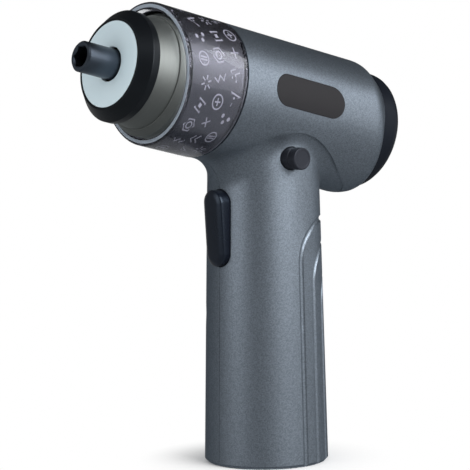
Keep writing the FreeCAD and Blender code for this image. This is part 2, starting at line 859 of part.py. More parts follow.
def ring_gear():
    """Internal gear that both stages share, and the case round them."""
    pitch = gear_module * ring_teeth / 2
    tip = pitch - addendum_share * gear_module
    root = pitch + dedendum_share * gear_module
    teeth = tooth_outline(ring_teeth, tip, root, flank_gap)
    start = plate_station + plate_thickness
    teeth.translate(Vector(start - overrun, 0, 0))
    spaces = Part.Face(teeth).extrude(Vector(ring_length + 2 * overrun, 0, 0))
    return along_barrel(rod(start, ring_length, ring_radius).cut(spaces))


def planet_pins(start, length):
    pins = []
    for k in range(planet_count):
        angle = 2 * math.pi * k / planet_count
        across, up = planet_circle * math.cos(angle), planet_circle * math.sin(angle)
        pins.append(rod(start, length, planet_pin_radius, across, up))
    return pins


def first_stage_carrier():
    """Carrier of the first stage, with its pins behind and the second sun in front."""
    disc = rod(first_carrier, carrier_thickness, carrier_radius)
    sun = spur(sun_teeth, first_carrier + carrier_thickness, planet_width + stage_gap, 0)
    pins = planet_pins(first_stage, first_carrier - first_stage)
    return along_barrel(fuse_all([disc, sun] + pins))


def output_stage_carrier():
    """Carrier of the second stage, driven onto the spindle's square."""
    disc = rod(output_carrier, carrier_thickness, carrier_radius)
    s = spindle_square / 2 + press_gap
    disc = disc.cut(box(output_carrier - overrun, output_carrier + carrier_thickness + overrun, -s, s, -s, s))
    pins = planet_pins(second_stage, output_carrier - second_stage)
    return along_barrel(fuse_all([disc] + pins))


def gear_plate():
    """Plate that closes the gear case behind and carries the motor."""
    plate = ring(plate_station, plate_thickness, ring_radius, motor_hub_radius + running_gap)
    for side in (1, -1):
        plate = plate.cut(rod(plate_station - overrun, plate_thickness + 2 * overrun,
                              motor_screw_radius + running_gap, side * motor_screw_circle, 0))
        seat = plate_station + plate_thickness - motor_screw_head_length
        plate = plate.cut(rod(seat, motor_screw_head_length + overrun, motor_screw_head_radius + running_gap,
                              side * motor_screw_circle, 0))
    return along_barrel(plate)


# Motor

def motor_can():
    """Drawn steel cup, closed in front round the bearing hub."""
    cup = rod(motor_rear, motor_length, motor_radius)
    cup = cup.fuse(rod(plate_station, motor_hub_length, motor_hub_radius)).removeSplitter()
    cup = cup.cut(rod(motor_rear - overrun, motor_length - motor_wall + overrun, motor_radius - motor_wall))
    cup = cup.cut(rod(motor_rear, motor_length + motor_hub_length + overrun, motor_bush_radius))
    for side in (1, -1):
        cup = cup.cut(rod(plate_station - motor_wall - overrun, motor_wall + 2 * overrun,
                          motor_screw_radius + running_gap, side * motor_screw_circle, 0))
    return along_barrel(cup)


def motor_screws():
    """Two screws through the plate into the motor's front."""
    screws = []
    head = plate_station + plate_thickness - motor_screw_head_length
    for side in (1, -1):
        at = side * motor_screw_circle
        shank = rod(head - motor_screw_depth, motor_screw_depth, motor_screw_radius, at, 0)
        cap = rod(head, motor_screw_head_length, motor_screw_head_radius, at, 0)
        slot = box(head + motor_screw_head_length / 2, head + motor_screw_head_length + overrun,
                   at - motor_screw_head_radius, at + motor_screw_head_radius,
                   -motor_screw_radius / 4, motor_screw_radius / 4)
        screws.append(shank.fuse(cap).removeSplitter().cut(slot))
    return along_barrel(Part.makeCompound(screws))


def motor_end_bell():
    """Moulded end that carries the rear bush and the brushes."""
    disc = rod(motor_rear - end_bell_thickness, end_bell_thickness, motor_radius)
    hub = rod(motor_rear - end_bell_thickness - end_bell_hub_length, end_bell_hub_length, motor_hub_radius)
    bell = fuse_all([disc, hub])
    reach = end_bell_thickness + end_bell_hub_length + 2 * overrun
    return along_barrel(bell.cut(rod(motor_rear - reach + overrun, reach, motor_bush_radius)))


def motor_bushes():
    front = ring(plate_station + motor_hub_length - motor_bush_length, motor_bush_length,
                 motor_bush_radius - press_gap, motor_shaft_radius + running_gap)
    rear = ring(motor_rear - end_bell_thickness - end_bell_hub_length, motor_bush_length,
                motor_bush_radius - press_gap, motor_shaft_radius + running_gap)
    return along_barrel(Part.makeCompound([front, rear]))


def sector(start, length, outer, inner, spread_deg, turn_deg):
    """Part of a ring, spread evenly about a direction."""
    end = start + length
    corners = [Vector(start, inner, 0), Vector(end, inner, 0), Vector(end, outer, 0), Vector(start, outer, 0)]
    face = Part.Face(Part.makePolygon(corners + corners[:1]))
    face.rotate(Vector(0, 0, 0), X_AXIS, turn_deg - spread_deg / 2)
    return face.revolve(Vector(0, 0, 0), X_AXIS, spread_deg)


def field_magnets():
    outer = motor_radius - motor_wall - running_gap
    start = plate_station - motor_wall - motor_bush_length - magnet_arc_length
    inner = outer - magnet_arc_thickness
    arcs = [sector(start, magnet_arc_length, outer, inner, magnet_arc_deg, turn) for turn in (0, 180)]
    return along_barrel(Part.makeCompound(arcs))


def armature():
    """Three-pole laminated core."""
    radius = motor_radius - motor_wall - magnet_arc_thickness - air_gap
    start = plate_station - motor_wall - motor_bush_length - (magnet_arc_length + armature_length) / 2
    pieces = [rod(start, armature_length, armature_hub_radius)]
    for k in range(armature_slots):
        turn = 360 * k / armature_slots
        half = armature_tooth_width / 2
        tooth = box(start, start + armature_length, 0, radius - armature_shoe / 2, -half, half)
        tooth.rotate(Vector(0, 0, 0), X_AXIS, turn)
        pieces.append(tooth)
        pieces.append(sector(start, armature_length, radius, radius - armature_shoe, armature_shoe_deg, turn))
    core = fuse_all(pieces)
    bore = rod(start - overrun, armature_length + 2 * overrun, motor_shaft_radius + press_gap)
    return along_barrel(core.cut(bore))


def commutator():
    start = motor_rear + stage_gap
    body = ring(start, commutator_length, commutator_radius, motor_shaft_radius + press_gap)
    for k in range(armature_slots):
        slot = box(start - overrun, start + commutator_length + overrun, commutator_radius - armature_shoe / 4,
                   commutator_radius + overrun, -running_gap * 4, running_gap * 4)
        slot.rotate(Vector(0, 0, 0), X_AXIS, 360 * (k + 0.5) / armature_slots)
        body = body.cut(slot)
    return along_barrel(body)


def motor_brushes():
    """Two carbon brushes on the end bell, either side of the commutator."""
    blocks = []
    for side in (1, -1):
        near = side * (commutator_radius + running_gap)
        far = side * (commutator_radius + brush_length)
        blocks.append(box(motor_rear, motor_rear + commutator_length, min(near, far), max(near, far),
                          -brush_width / 2, brush_width / 2))
    return along_barrel(Part.makeCompound(blocks))


def motor_shaft():
    rear = motor_rear - end_bell_thickness - end_bell_hub_length - motor_shaft_tail / 2
    return along_barrel(rod(rear, first_stage + planet_width - rear, motor_shaft_radius))


def motor_pinion():
    return along_barrel(spur(sun_teeth, first_stage, planet_width, motor_shaft_radius + press_gap))


# Trigger, spring and switches

def trigger_back():
    """Where the trigger's flange meets the inside of the handle, seen along x."""
    top = trigger_middle + trigger_length / 2 + trigger_flange
    inner = handle_radius(top) - shell_wall
    half = trigger_width / 2 + trigger_flange
    return math.sqrt(inner ** 2 - half ** 2) - trigger_seat_gap


def trigger():
    """Round-ended button with a sloping face and a flange that keeps it in the handle."""
    half = trigger_length / 2
    high = handle_radius(trigger_middle + half) + trigger_proud_top
    low = handle_radius(trigger_middle - half) + trigger_proud_bottom
    back = trigger_back()
    slope = [Vector(back - trigger_flange_thickness, 0, trigger_middle - half),
             Vector(low, 0, trigger_middle - half), Vector(high, 0, trigger_middle + half),
             Vector(back - trigger_flange_thickness, 0, trigger_middle + half)]
    wedge = Part.Face(Part.makePolygon(slope + slope[:1]))
    wedge.translate(Vector(0, -trigger_width, 0))
    button = trigger_window(0).common(wedge.extrude(Vector(0, 2 * trigger_width, 0)))
    front_edges = [e for e in button.Edges
                   if min(v.X for v in e.Vertexes) > min(low, high) - (high - low) / 2 - trigger_edge_round]
    button = button.makeFillet(trigger_edge_round, front_edges)
    middle = Vector(back - trigger_flange_thickness, 0, trigger_middle)
    grow = 2 * trigger_flange
    flange = stadium(trigger_length + grow, trigger_width + grow, middle, Z_AXIS, Y_AXIS)
    return button.fuse(flange.extrude(Vector(trigger_flange_thickness, 0, 0))).removeSplitter()


def trigger_spring():
    """Open coil between the board and the trigger's flange, wound as half-turn arcs."""
    start = board_front + spring_wire / 2 + running_gap
    end = trigger_back() - trigger_flange_thickness - spring_wire / 2 - running_gap
    rise = (end - start) / (2 * spring_turns)
    centre = Vector(0, 0, spring_level)
    at = lambda k: centre + Vector(start + rise * k, spring_radius * math.cos(math.pi * k),
                                   spring_radius * math.sin(math.pi * k))
    arcs = [Part.Arc(at(k), at(k + 0.5), at(k + 1)).toShape() for k in range(2 * spring_turns)]
    path = Part.Wire(arcs)
    tangent = arcs[0].tangentAt(arcs[0].FirstParameter)
    section = Part.Wire(Part.makeCircle(spring_wire / 2, at(0), tangent))
    points = [at(k / 6) for k in range(12 * spring_turns + 1)]
    gap = min((p - q).Length for i, p in enumerate(points) for q in points[i + 6:]) - spring_wire
    print("trigger spring: least gap between turns", round(gap, 3))
    return path.makePipeShell([section], True, False)


def trigger_switch():
    """Push switch on the board, with its plunger short of the trigger."""
    half = switch_size / 2
    reach = trigger_back() - trigger_flange_thickness - trigger_travel - plunger_gap - board_front
    depth = reach * switch_depth_share
    body = box(board_front, board_front + depth, -half, half, switch_level - half, switch_level + half)
    plunger = Part.makeCylinder(plunger_radius, reach, Vector(board_front, 0, switch_level), X_AXIS)
    return fuse_all([body, plunger])


def direction_button():
    """Bar through both sides of the neck, with a lug for the switch under it."""
    side = math.sqrt(handle_radius(selector_height) ** 2 - selector_place ** 2)
    left = side + selector_travel + selector_left_proud
    right = -side - selector_flush
    e = selector_edge
    r = selector_radius
    profile = [(right, 0), (right, r - e), (right + e, r), (left - e, r), (left, r - e), (left, 0)]
    points = [Vector(radius, at, 0) for at, radius in profile]
    bar = Part.Face(Part.makePolygon(points + points[:1])).revolve(Vector(0, 0, 0), Y_AXIS, 360)
    half_width, half_length = selector_lug_width / 2, selector_lug_length / 2
    lug = box(-half_width, half_width, -half_length, half_length, -r - selector_lug_drop, 0)
    bar = fuse_all([bar, lug])
    bar.translate(Vector(selector_place, 0, selector_height))
    return bar


def direction_switch():
    """Slide switch on the board's top edge, under the selector bar."""
    middle = selector_place
    half = selector_switch_width / 2
    return box(middle - half, middle + half, -selector_switch_length / 2, selector_switch_length / 2,
               board_top, board_top + selector_switch_height)


# Handle contents

def battery_cell():
    """Round lithium cell with its raised positive end."""
    body = Part.makeCylinder(cell_radius, cell_length - cell_cap_height, Vector(cell_place, 0, cell_lift))
    shoulder = cell_lift + cell_length - cell_cap_height
    tip = Part.makeCylinder(cell_cap_radius, cell_cap_height, Vector(cell_place, 0, shoulder))
    return fuse_all([body, tip])


def battery_tabs():
    """Welded strips from the cell's two ends to the board."""
    reach = cell_front + board_gap
    tabs = []
    for level in (cell_lift - tab_thickness, cell_lift + cell_length):
        half = tab_width / 2
        tabs.append(box(cell_place - half, reach, -half, half, level, level + tab_thickness))
    return Part.makeCompound(tabs)


def control_board():
    back = board_front - board_thickness
    return box(back, board_front, -board_width / 2, board_width / 2, board_lift, board_top)


def charge_port():
    """Charging socket shell with its tongue, facing down through the floor."""
    middle = Vector(board_front + port_height / 2, 0, port_recess)
    shell = stadium(port_width, port_height, middle, Y_AXIS, X_AXIS).extrude(Vector(0, 0, port_depth))
    inner = stadium(port_width - 2 * port_wall, port_height - 2 * port_wall, middle, Y_AXIS, X_AXIS)
    shell = shell.cut(inner.extrude(Vector(0, 0, port_depth - port_wall)))
    side = port_width / 2 * port_tongue_share
    tongue = box(middle.x - port_tongue / 2, middle.x + port_tongue / 2, -side, side,
                 2 * port_recess, port_recess + port_depth - port_wall / 2)
    return fuse_all([shell, tongue])


def housing_screws():
    """Self-tapping screws from the right-hand side, with cross recesses."""
    screws = []
    for place in screw_places():
        seat = place - Y_AXIS * screw_seat_side
        shank = Part.makeCylinder(screw_radius, screw_seat_side + screw_reach, seat, Y_AXIS)
        head = Part.makeCylinder(screw_head_radius, screw_head_length, seat, -Y_AXIS)
        screw = shank.fuse(head).removeSplitter()
        top = seat - Y_AXIS * screw_head_length
        recess = Part.makeCone(screw_recess_radius, 0, 2 * screw_recess_depth, top, Y_AXIS)
        screws.append(screw.cut(recess))
    return Part.makeCompound(screws)


def build():
    parts = {
        "left_shell": housing_half(1),
        "right_shell": housing_half(-1),
        "name_plate": name_plate(),
        "rear_cap": rear_cap(),
        "clear_nose_cover": clear_nose_cover(),
        "joint_gasket": joint_gasket(),
        "printed_film": printed_film(),
        "nose_cone": nose_cone(),
        "lamp_bezel": lamp_bezel(),
        "lamp_diffuser": lamp_diffuser(),
        "lamp_board": lamp_board(),
        "lamp_diodes": lamp_diodes(),
        "output_spindle": output_spindle(),
        "bit_magnet": bit_magnet(),
        "spindle_clip": spindle_clip(),
        "spindle_bush": spindle_bush(),
        "spindle_bearing": spindle_bearing(),
        "ring_gear": ring_gear(),
        "first_stage_carrier": first_stage_carrier(),
        "output_stage_carrier": output_stage_carrier(),
        "gear_plate": gear_plate(),
        "motor_can": motor_can(),
        "motor_end_bell": motor_end_bell(),
        "motor_bushes": motor_bushes(),
        "motor_screws": motor_screws(),
        "motor_brushes": motor_brushes(),
        "field_magnets": field_magnets(),
        "armature": armature(),
        "commutator": commutator(),
        "motor_shaft": motor_shaft(),
        "motor_pinion": motor_pinion(),
        "trigger": trigger(),
        "trigger_spring": trigger_spring(),
        "trigger_switch": trigger_switch(),
        "direction_button": direction_button(),
        "direction_switch": direction_switch(),
        "battery_cell": battery_cell(),
        "battery_tabs": battery_tabs(),
        "control_board": control_board(),
        "charge_port": charge_port(),
        "housing_screws": housing_screws(),
    }
    for k in range(planet_count):
        parts[f"rear_planet_gear_{k + 1}"] = planet(first_stage, k)
        parts[f"front_planet_gear_{k + 1}"] = planet(second_stage, k)
    return parts


os.makedirs("parts", exist_ok=True)
for name, shape in build().items():
    if not shape.isValid():
        print("not valid:", name)
    shape.exportStep(f"parts/{name}.step")
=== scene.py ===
import json
import math

import bmesh
import bpy
from mathutils import Matrix, Vector


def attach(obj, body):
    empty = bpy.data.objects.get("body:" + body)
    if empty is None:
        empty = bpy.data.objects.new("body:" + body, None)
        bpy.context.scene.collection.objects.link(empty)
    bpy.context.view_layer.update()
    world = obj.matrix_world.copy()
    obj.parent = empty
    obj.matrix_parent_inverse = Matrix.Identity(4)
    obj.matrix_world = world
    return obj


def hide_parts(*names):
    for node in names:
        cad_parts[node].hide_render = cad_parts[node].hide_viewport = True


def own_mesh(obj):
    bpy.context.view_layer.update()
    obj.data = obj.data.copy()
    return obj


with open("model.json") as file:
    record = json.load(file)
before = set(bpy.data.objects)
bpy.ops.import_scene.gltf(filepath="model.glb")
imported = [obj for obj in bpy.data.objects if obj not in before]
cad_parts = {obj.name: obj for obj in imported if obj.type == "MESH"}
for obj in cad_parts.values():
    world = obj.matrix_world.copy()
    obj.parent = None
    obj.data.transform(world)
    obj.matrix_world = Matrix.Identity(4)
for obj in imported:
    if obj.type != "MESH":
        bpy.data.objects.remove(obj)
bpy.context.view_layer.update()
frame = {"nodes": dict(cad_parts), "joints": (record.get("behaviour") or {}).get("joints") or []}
nodes = frame["nodes"]
mm = 0.001

# Housing halves: two plastic mouldings sprayed with a satin blue-grey metallic paint.
# They meet on the middle plane, carry the grip grooves and are screwed together from the right.

paint_dark = (0.138, 0.163, 0.193, 1)
paint_light = (0.211, 0.245, 0.287, 1)
paint_edge = (0.30, 0.32, 0.35, 1)
grain_depth = 0.05 * mm


def new_finish(name):
    """An empty material with its shader, ready for links."""
    finish = bpy.data.materials.new(name)
    finish.use_nodes = True
    return finish, finish.node_tree, finish.node_tree.nodes["Principled BSDF"]


def new_group(name, inputs, outputs):
    """A shader node group with float inputs and outputs, returned with its two end nodes."""
    tree = bpy.data.node_groups.new(name, "ShaderNodeTree")
    for label, value in inputs.items():
        socket = tree.interface.new_socket(label, in_out="INPUT", socket_type="NodeSocketFloat")
        socket.default_value = value
    for label in outputs:
        tree.interface.new_socket(label, in_out="OUTPUT", socket_type="NodeSocketFloat")
    return tree, tree.nodes.new("NodeGroupInput"), tree.nodes.new("NodeGroupOutput")


def place_group(tree, group, **values):
    """A group node in a material, with its own values."""
    node = tree.nodes.new("ShaderNodeGroup")
    node.node_tree = group
    for label, value in values.items():
        node.inputs[label.replace("_", " ")].default_value = value
    return node


def colour_between(tree, factor, low, high):
    """A link-ready colour between two, led by a value from 0 to 1."""
    mix = tree.nodes.new("ShaderNodeMix")
    mix.data_type = "RGBA"
    mix.inputs["A"].default_value = low
    mix.inputs["B"].default_value = high
    tree.links.new(factor, mix.inputs["Factor"])
    return mix.outputs["Result"]


def value_between(tree, factor, low, high):
    """A value between two, led by a value from 0 to 1."""
    span = tree.nodes.new("ShaderNodeMapRange")
    span.inputs["To Min"].default_value = low
    span.inputs["To Max"].default_value = high
    tree.links.new(factor, span.inputs["Value"])
    return span.outputs["Result"]


def raise_surface(tree, shader, height, strength, depth):
    """Bump from a height, into the shader's normal."""
    bump = tree.nodes.new("ShaderNodeBump")
    bump.inputs["Strength"].default_value = strength
    bump.inputs["Distance"].default_value = depth
    tree.links.new(height, bump.inputs["Height"])
    tree.links.new(bump.outputs["Normal"], shader.inputs["Normal"])


def dress(finish, *names):
    """Gives CAD pieces their finish."""
    for name in names:
        nodes[name].data.materials.clear()
        nodes[name].data.materials.append(finish)


# Flake: grains of metal in a paint film, each with its own brightness.
flake, flake_in, flake_out = new_group("metal_flake", {"Grains per metre": 3000.0}, ["Brightness"])
flake_place = flake.nodes.new("ShaderNodeTexCoord")
flake_cells = flake.nodes.new("ShaderNodeTexVoronoi")
flake_split = flake.nodes.new("ShaderNodeSeparateColor")
flake.links.new(flake_place.outputs["Object"], flake_cells.inputs["Vector"])
flake.links.new(flake_in.outputs["Grains per metre"], flake_cells.inputs["Scale"])
flake.links.new(flake_cells.outputs["Color"], flake_split.inputs["Color"])
flake.links.new(flake_split.outputs["Red"], flake_out.inputs["Brightness"])

# Grain: the fine even texture of a spark-eroded mould or a sprayed surface, and a slow cloud.
grain, grain_in, grain_out = new_group("moulded_grain", {"Grains per metre": 2500.0}, ["Height", "Cloud"])
grain_place = grain.nodes.new("ShaderNodeTexCoord")
grain_fine = grain.nodes.new("ShaderNodeTexNoise")
grain_fine.inputs["Detail"].default_value = 2.0
grain_wide = grain.nodes.new("ShaderNodeTexNoise")
grain_wide.inputs["Scale"].default_value = 60.0
grain.links.new(grain_place.outputs["Object"], grain_fine.inputs["Vector"])
grain.links.new(grain_place.outputs["Object"], grain_wide.inputs["Vector"])
grain.links.new(grain_in.outputs["Grains per metre"], grain_fine.inputs["Scale"])
grain.links.new(grain_fine.outputs["Fac"], grain_out.inputs["Height"])
grain.links.new(grain_wide.outputs["Fac"], grain_out.inputs["Cloud"])


def moulded_finish(name, low, high, rough_low, rough_high, grains_per_metre, strength, **settings):
    """A moulded plastic between two colours and two roughnesses, with a fine grain and its own settings."""
    finish, tree, shader = new_finish(name)
    grains = place_group(tree, grain, Grains_per_metre=grains_per_metre)
    colour = colour_between(tree, grains.outputs["Cloud"], low, high)
    roughness = value_between(tree, grains.outputs["Cloud"], rough_low, rough_high)
    tree.links.new(colour, shader.inputs["Base Color"])
    tree.links.new(roughness, shader.inputs["Roughness"])
    raise_surface(tree, shader, grains.outputs["Height"], strength, grain_depth)
    for label, value in settings.items():
        shader.inputs[label.replace("_", " ")].default_value = value
    return finish


body_paint, tree, shader = new_finish("body_paint")
grains = place_group(tree, flake, Grains_per_metre=3400.0)
spray = place_group(tree, grain, Grains_per_metre=2300.0)
colour = colour_between(tree, grains.outputs["Brightness"], paint_dark, paint_light)
tree.links.new(colour, shader.inputs["Base Color"])
tree.links.new(value_between(tree, spray.outputs["Cloud"], 0.40, 0.46), shader.inputs["Roughness"])
raise_surface(tree, shader, spray.outputs["Height"], 0.12, grain_depth)
shader.inputs["Metallic"].default_value = 0.88
shader.inputs["Specular Tint"].default_value = paint_edge

drive = next(joint for joint in frame["joints"] if joint["name"] == "motor_spin")
barrel_rake = math.asin(drive["axis"][2])
barrel_frame = Matrix.Translation(drive["pos_m"]) @ Matrix.Rotation(-barrel_rake, 4, "Y")
tail_lean = 0.138
tail_bow = 0.00505
tail_square_at = -24.0
tail_slanted_at = -36.0
tail_bore = 20.62
barrel_skin = 23.3
parting_band = 0.1 * mm
parting_face_share = 0.5
weld_distance = 0.002 * mm


def linked(name, data):
    """A new object in the scene."""
    thing = bpy.data.objects.new(name, data)
    bpy.context.scene.collection.objects.link(thing)
    return thing


def as_mesh(name, form):
    """The mesh of a form in the making, which is then let go."""
    mesh = bpy.data.meshes.new(name)
    form.to_mesh(mesh)
    form.free()
    return mesh


def smooth_mesh(name, form, sharp_deg=35):
    """The mesh of a form in the making, smooth but for its sharp edges."""
    mesh = as_mesh(name, form)
    mesh.shade_smooth()
    mesh.set_sharp_from_angle(angle=math.radians(sharp_deg))
    return mesh


def finished_mesh(name, form, place, sharp_deg=35):
    """A linked object from a form in the making, moved to its place."""
    form.transform(place)
    return linked(name, smooth_mesh(name, form, sharp_deg))


def fit(piece, finish, body, slot, *replaced):
    """Gives a finished piece its material and its body, and hides the CAD nodes that it stands for; the slot
    is not used.
    """
    piece.data.materials.append(finish)
    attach(piece, body)
    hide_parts(*replaced)


def ramp(value, low, high):
    """How far a value has gone from one mark to another, from 0 to 1."""
    return min(max((value - low) / (high - low), 0.0), 1.0)


def lean_tail(form, facing):
    """Moves the barrel's rounded tail back at the foot and forward at the top, with its normals."""
    to_barrel = barrel_frame.inverted()
    for vert in form.verts:
        along, across, height = (to_barrel @ vert.co) / mm
        if along > tail_square_at or not tail_bore < math.hypot(across, height) < barrel_skin:
            continue
        gone = ramp(along, tail_square_at, tail_slanted_at)
        stretch = 0.0 if gone == 1.0 else 1 / (tail_slanted_at - tail_square_at)
        push = tail_lean * height - tail_bow * height ** 2
        vert.co = barrel_frame @ (Vector((along + push * gone, across, height)) * mm)
        for loop in vert.link_loops:
            normal = to_barrel.to_3x3() @ loop[facing]
            normal.x /= 1 + push * stretch
            normal.z -= (tail_lean - 2 * tail_bow * height) * gone * normal.x
            loop[facing] = barrel_frame.to_3x3() @ normal.normalized()


def level_parting_line(form, facing):
    """Turns the skin's normals at the parting line square to it, so that both halves shade as one."""
    for vert in form.verts:
        if abs(vert.co.y) > parting_band:
            continue
        for loop in vert.link_loops:
            normal = loop[facing].copy()
            if abs(normal.y) < parting_face_share:
                normal.y = 0.0
                loop[facing] = normal.normalized()


for side in ("left", "right"):
    moulding = nodes[f"{side}_shell"].data
    form = bmesh.new()
    form.from_mesh(moulding)
    facing = form.loops.layers.float_vector.new("facing")
    for face in form.faces:
        for corner, loop in enumerate(face.loops):
            loop[facing] = moulding.corner_normals[moulding.polygons[face.index].loop_start + corner].vector
    bmesh.ops.remove_doubles(form, verts=form.verts, dist=weld_distance)
    level_parting_line(form, facing)
    lean_tail(form, facing)
    half = finished_mesh(f"{side}_half", form, Matrix.Identity(4))
    half.data.normals_split_custom_set([corner.vector for corner in half.data.attributes["facing"].data])
    half.data.attributes.remove(half.data.attributes["facing"])
    fit(half, body_paint, "housing", "body_paint", f"{side}_shell")

# Name plate: a thin satin plate let into the left flank, with nothing on it.
# It is moulded in dark grey and pressed into its recess.

plate_grey = moulded_finish(
    "plate_grey", (0.011, 0.0105, 0.0125, 1), (0.015, 0.0145, 0.017, 1), 0.50, 0.60, 3500.0, 0.06,
    Specular_IOR_Level=0.2)
dress(plate_grey, "name_plate")

# Drive line: gears, carriers, shafts and bearing of steel, ground and lightly oiled, with bronze bushes.
# They lie along the barrel axis, which the frame gives through the motor's joint.

turning_depth = 0.03 * mm

# Turned: fine rings round the barrel axis, as a lathe leaves them, and a slow cloud.
turned, turned_in, turned_out = new_group("turned_rings", {"Rings per metre": 9000.0}, ["Rings", "Cloud"])
turned_place = turned.nodes.new("ShaderNodeTexCoord")
turned_axis = turned.nodes.new("ShaderNodeMapping")
turned_axis.vector_type = "TEXTURE"
turned_axis.inputs["Location"].default_value = drive["pos_m"]
turned_axis.inputs["Rotation"].default_value = (0, -barrel_rake, 0)
turned_split = turned.nodes.new("ShaderNodeSeparateXYZ")
turned_across = turned.nodes.new("ShaderNodeCombineXYZ")
turned_radius = turned.nodes.new("ShaderNodeVectorMath")
turned_radius.operation = "LENGTH"
turned_sum = turned.nodes.new("ShaderNodeMath")
turned_noise = turned.nodes.new("ShaderNodeTexNoise")
turned_noise.noise_dimensions = "1D"
turned_cloud = turned.nodes.new("ShaderNodeTexNoise")
turned_cloud.inputs["Scale"].default_value = 90.0
turned.links.new(turned_place.outputs["Object"], turned_axis.inputs["Vector"])
turned.links.new(turned_axis.outputs["Vector"], turned_split.inputs["Vector"])
turned.links.new(turned_split.outputs["Y"], turned_across.inputs["Y"])
turned.links.new(turned_split.outputs["Z"], turned_across.inputs["Z"])
turned.links.new(turned_across.outputs["Vector"], turned_radius.inputs[0])
turned.links.new(turned_radius.outputs["Value"], turned_sum.inputs[0])
turned.links.new(turned_split.outputs["X"], turned_sum.inputs[1])
turned.links.new(turned_sum.outputs["Value"], turned_noise.inputs["W"])
turned.links.new(turned_in.outputs["Rings per metre"], turned_noise.inputs["Scale"])
turned.links.new(turned_place.outputs["Object"], turned_cloud.inputs["Vector"])
turned.links.new(turned_noise.outputs["Fac"], turned_out.inputs["Rings"])
turned.links.new(turned_cloud.outputs["Fac"], turned_out.inputs["Cloud"])


def turned_metal(name, low, high, rough_low, rough_high, rings, strength):
    """A metal finish with turning marks, between two colours and two roughnesses."""
    finish, tree, shader = new_finish(name)
    marks = place_group(tree, turned, Rings_per_metre=rings)
    colour = colour_between(tree, marks.outputs["Cloud"], low, high)
    roughness = value_between(tree, marks.outputs["Rings"], rough_low, rough_high)
    tree.links.new(colour, shader.inputs["Base Color"])
    tree.links.new(roughness, shader.inputs["Roughness"])
    raise_surface(tree, shader, marks.outputs["Rings"], strength, turning_depth)
    shader.inputs["Metallic"].default_value = 1.0
    return finish


bright_steel = turned_metal(
    "bright_steel", (0.50, 0.50, 0.51, 1), (0.60, 0.60, 0.61, 1), 0.22, 0.36, 6000.0, 0.2)
black_steel = turned_metal(
    "black_steel", (0.062, 0.076, 0.098, 1), (0.085, 0.102, 0.128, 1), 0.30, 0.42, 5000.0, 0.12)
zinc_plate = turned_metal(
    "zinc_plate", (0.46, 0.47, 0.50, 1), (0.56, 0.57, 0.60, 1), 0.30, 0.42, 3000.0, 0.1)
oiled_bronze = turned_metal(
    "oiled_bronze", (0.38, 0.22, 0.09, 1), (0.50, 0.31, 0.14, 1), 0.35, 0.48, 3000.0, 0.2)
bare_copper = turned_metal(
    "bare_copper", (0.55, 0.24, 0.10, 1), (0.68, 0.33, 0.17, 1), 0.25, 0.36, 3000.0, 0.1)
dress(bright_steel, "bit_magnet", "spindle_bearing", "first_stage_carrier", "output_stage_carrier",
      "motor_shaft", "trigger_spring", "charge_port", "battery_tabs",
      *[f"{stage}_planet_gear_{k}" for stage in ("rear", "front") for k in (1, 2, 3)])
dress(black_steel, "output_spindle", "spindle_clip", "ring_gear", "armature")
dress(zinc_plate, "gear_plate", "motor_can", "motor_screws")
dress(oiled_bronze, "spindle_bush", "motor_bushes", "motor_pinion")
dress(bare_copper, "commutator")

# Motor magnets and brushes: pressed ferrite and carbon, dull and dark.
# The magnets are clipped into the can, and the brushes ride on the end bell.

pressed_depth = 0.2 * mm
ferrite, tree, shader = new_finish("ferrite")
grains = place_group(tree, grain, Grains_per_metre=1500.0)
colour = colour_between(tree, grains.outputs["Height"], (0.020, 0.020, 0.022, 1), (0.045, 0.044, 0.046, 1))
tree.links.new(colour, shader.inputs["Base Color"])
raise_surface(tree, shader, grains.outputs["Height"], 0.3, pressed_depth)
shader.inputs["Roughness"].default_value = 0.75
dress(ferrite, "field_magnets", "motor_brushes")

# Circuit boards and lamp diodes: green solder mask, and yellow phosphor on the diodes.
# The long board stands in the handle, and the ring sits behind the lamp's disc.

board_green, tree, shader = new_finish("board_green")
grains = place_group(tree, grain, Grains_per_metre=400.0)
colour = colour_between(tree, grains.outputs["Height"], (0.012, 0.085, 0.035, 1), (0.025, 0.140, 0.060, 1))
tree.links.new(colour, shader.inputs["Base Color"])
shader.inputs["Roughness"].default_value = 0.35
dress(board_green, "control_board", "lamp_board")

phosphor = moulded_finish(
    "phosphor", (0.70, 0.55, 0.10, 1), (0.80, 0.66, 0.18, 1), 0.28, 0.34, 3000.0, 0.1)
dress(phosphor, "lamp_diodes")

# Battery cell: a round cell in a teal shrink sleeve, held in the handle's ribs.
# Its two ends carry welded strips to the board.

cell_sleeve = moulded_finish(
    "cell_sleeve", (0.030, 0.160, 0.220, 1), (0.050, 0.210, 0.280, 1), 0.25, 0.32, 900.0, 0.1)
dress(cell_sleeve, "battery_cell")

# Nose cone: the satin silver front of the gear case, seen through the clear cover.
# It is die-cast, turned and plated, and it carries the spindle's bush.


def soften(outline, steps=6):
    """Points of a closed outline of (station, radius) corners, where a third number rounds the corner."""
    corners = [Vector(corner[:2]) for corner in outline]
    points = []
    for k, corner in enumerate(outline):
        here, before, after = corners[k], corners[k - 1], corners[(k + 1) % len(corners)]
        if len(corner) < 3:
            points.append(here)
            continue
        back, ahead = (before - here).normalized(), (after - here).normalized()
        half = back.angle(ahead) / 2
        centre = here + (back + ahead).normalized() * (corner[2] / math.sin(half))
        start = here + back * (corner[2] / math.tan(half)) - centre
        turn = start.angle_signed(here + ahead * (corner[2] / math.tan(half)) - centre)
        for step in range(steps + 1):
            arm = start.copy()
            arm.rotate(Matrix.Rotation(-turn * step / steps, 2))
            points.append(centre + arm)
    return points


def square(along, height):
    """The station of a piece whose ends are square to its axis."""
    return along


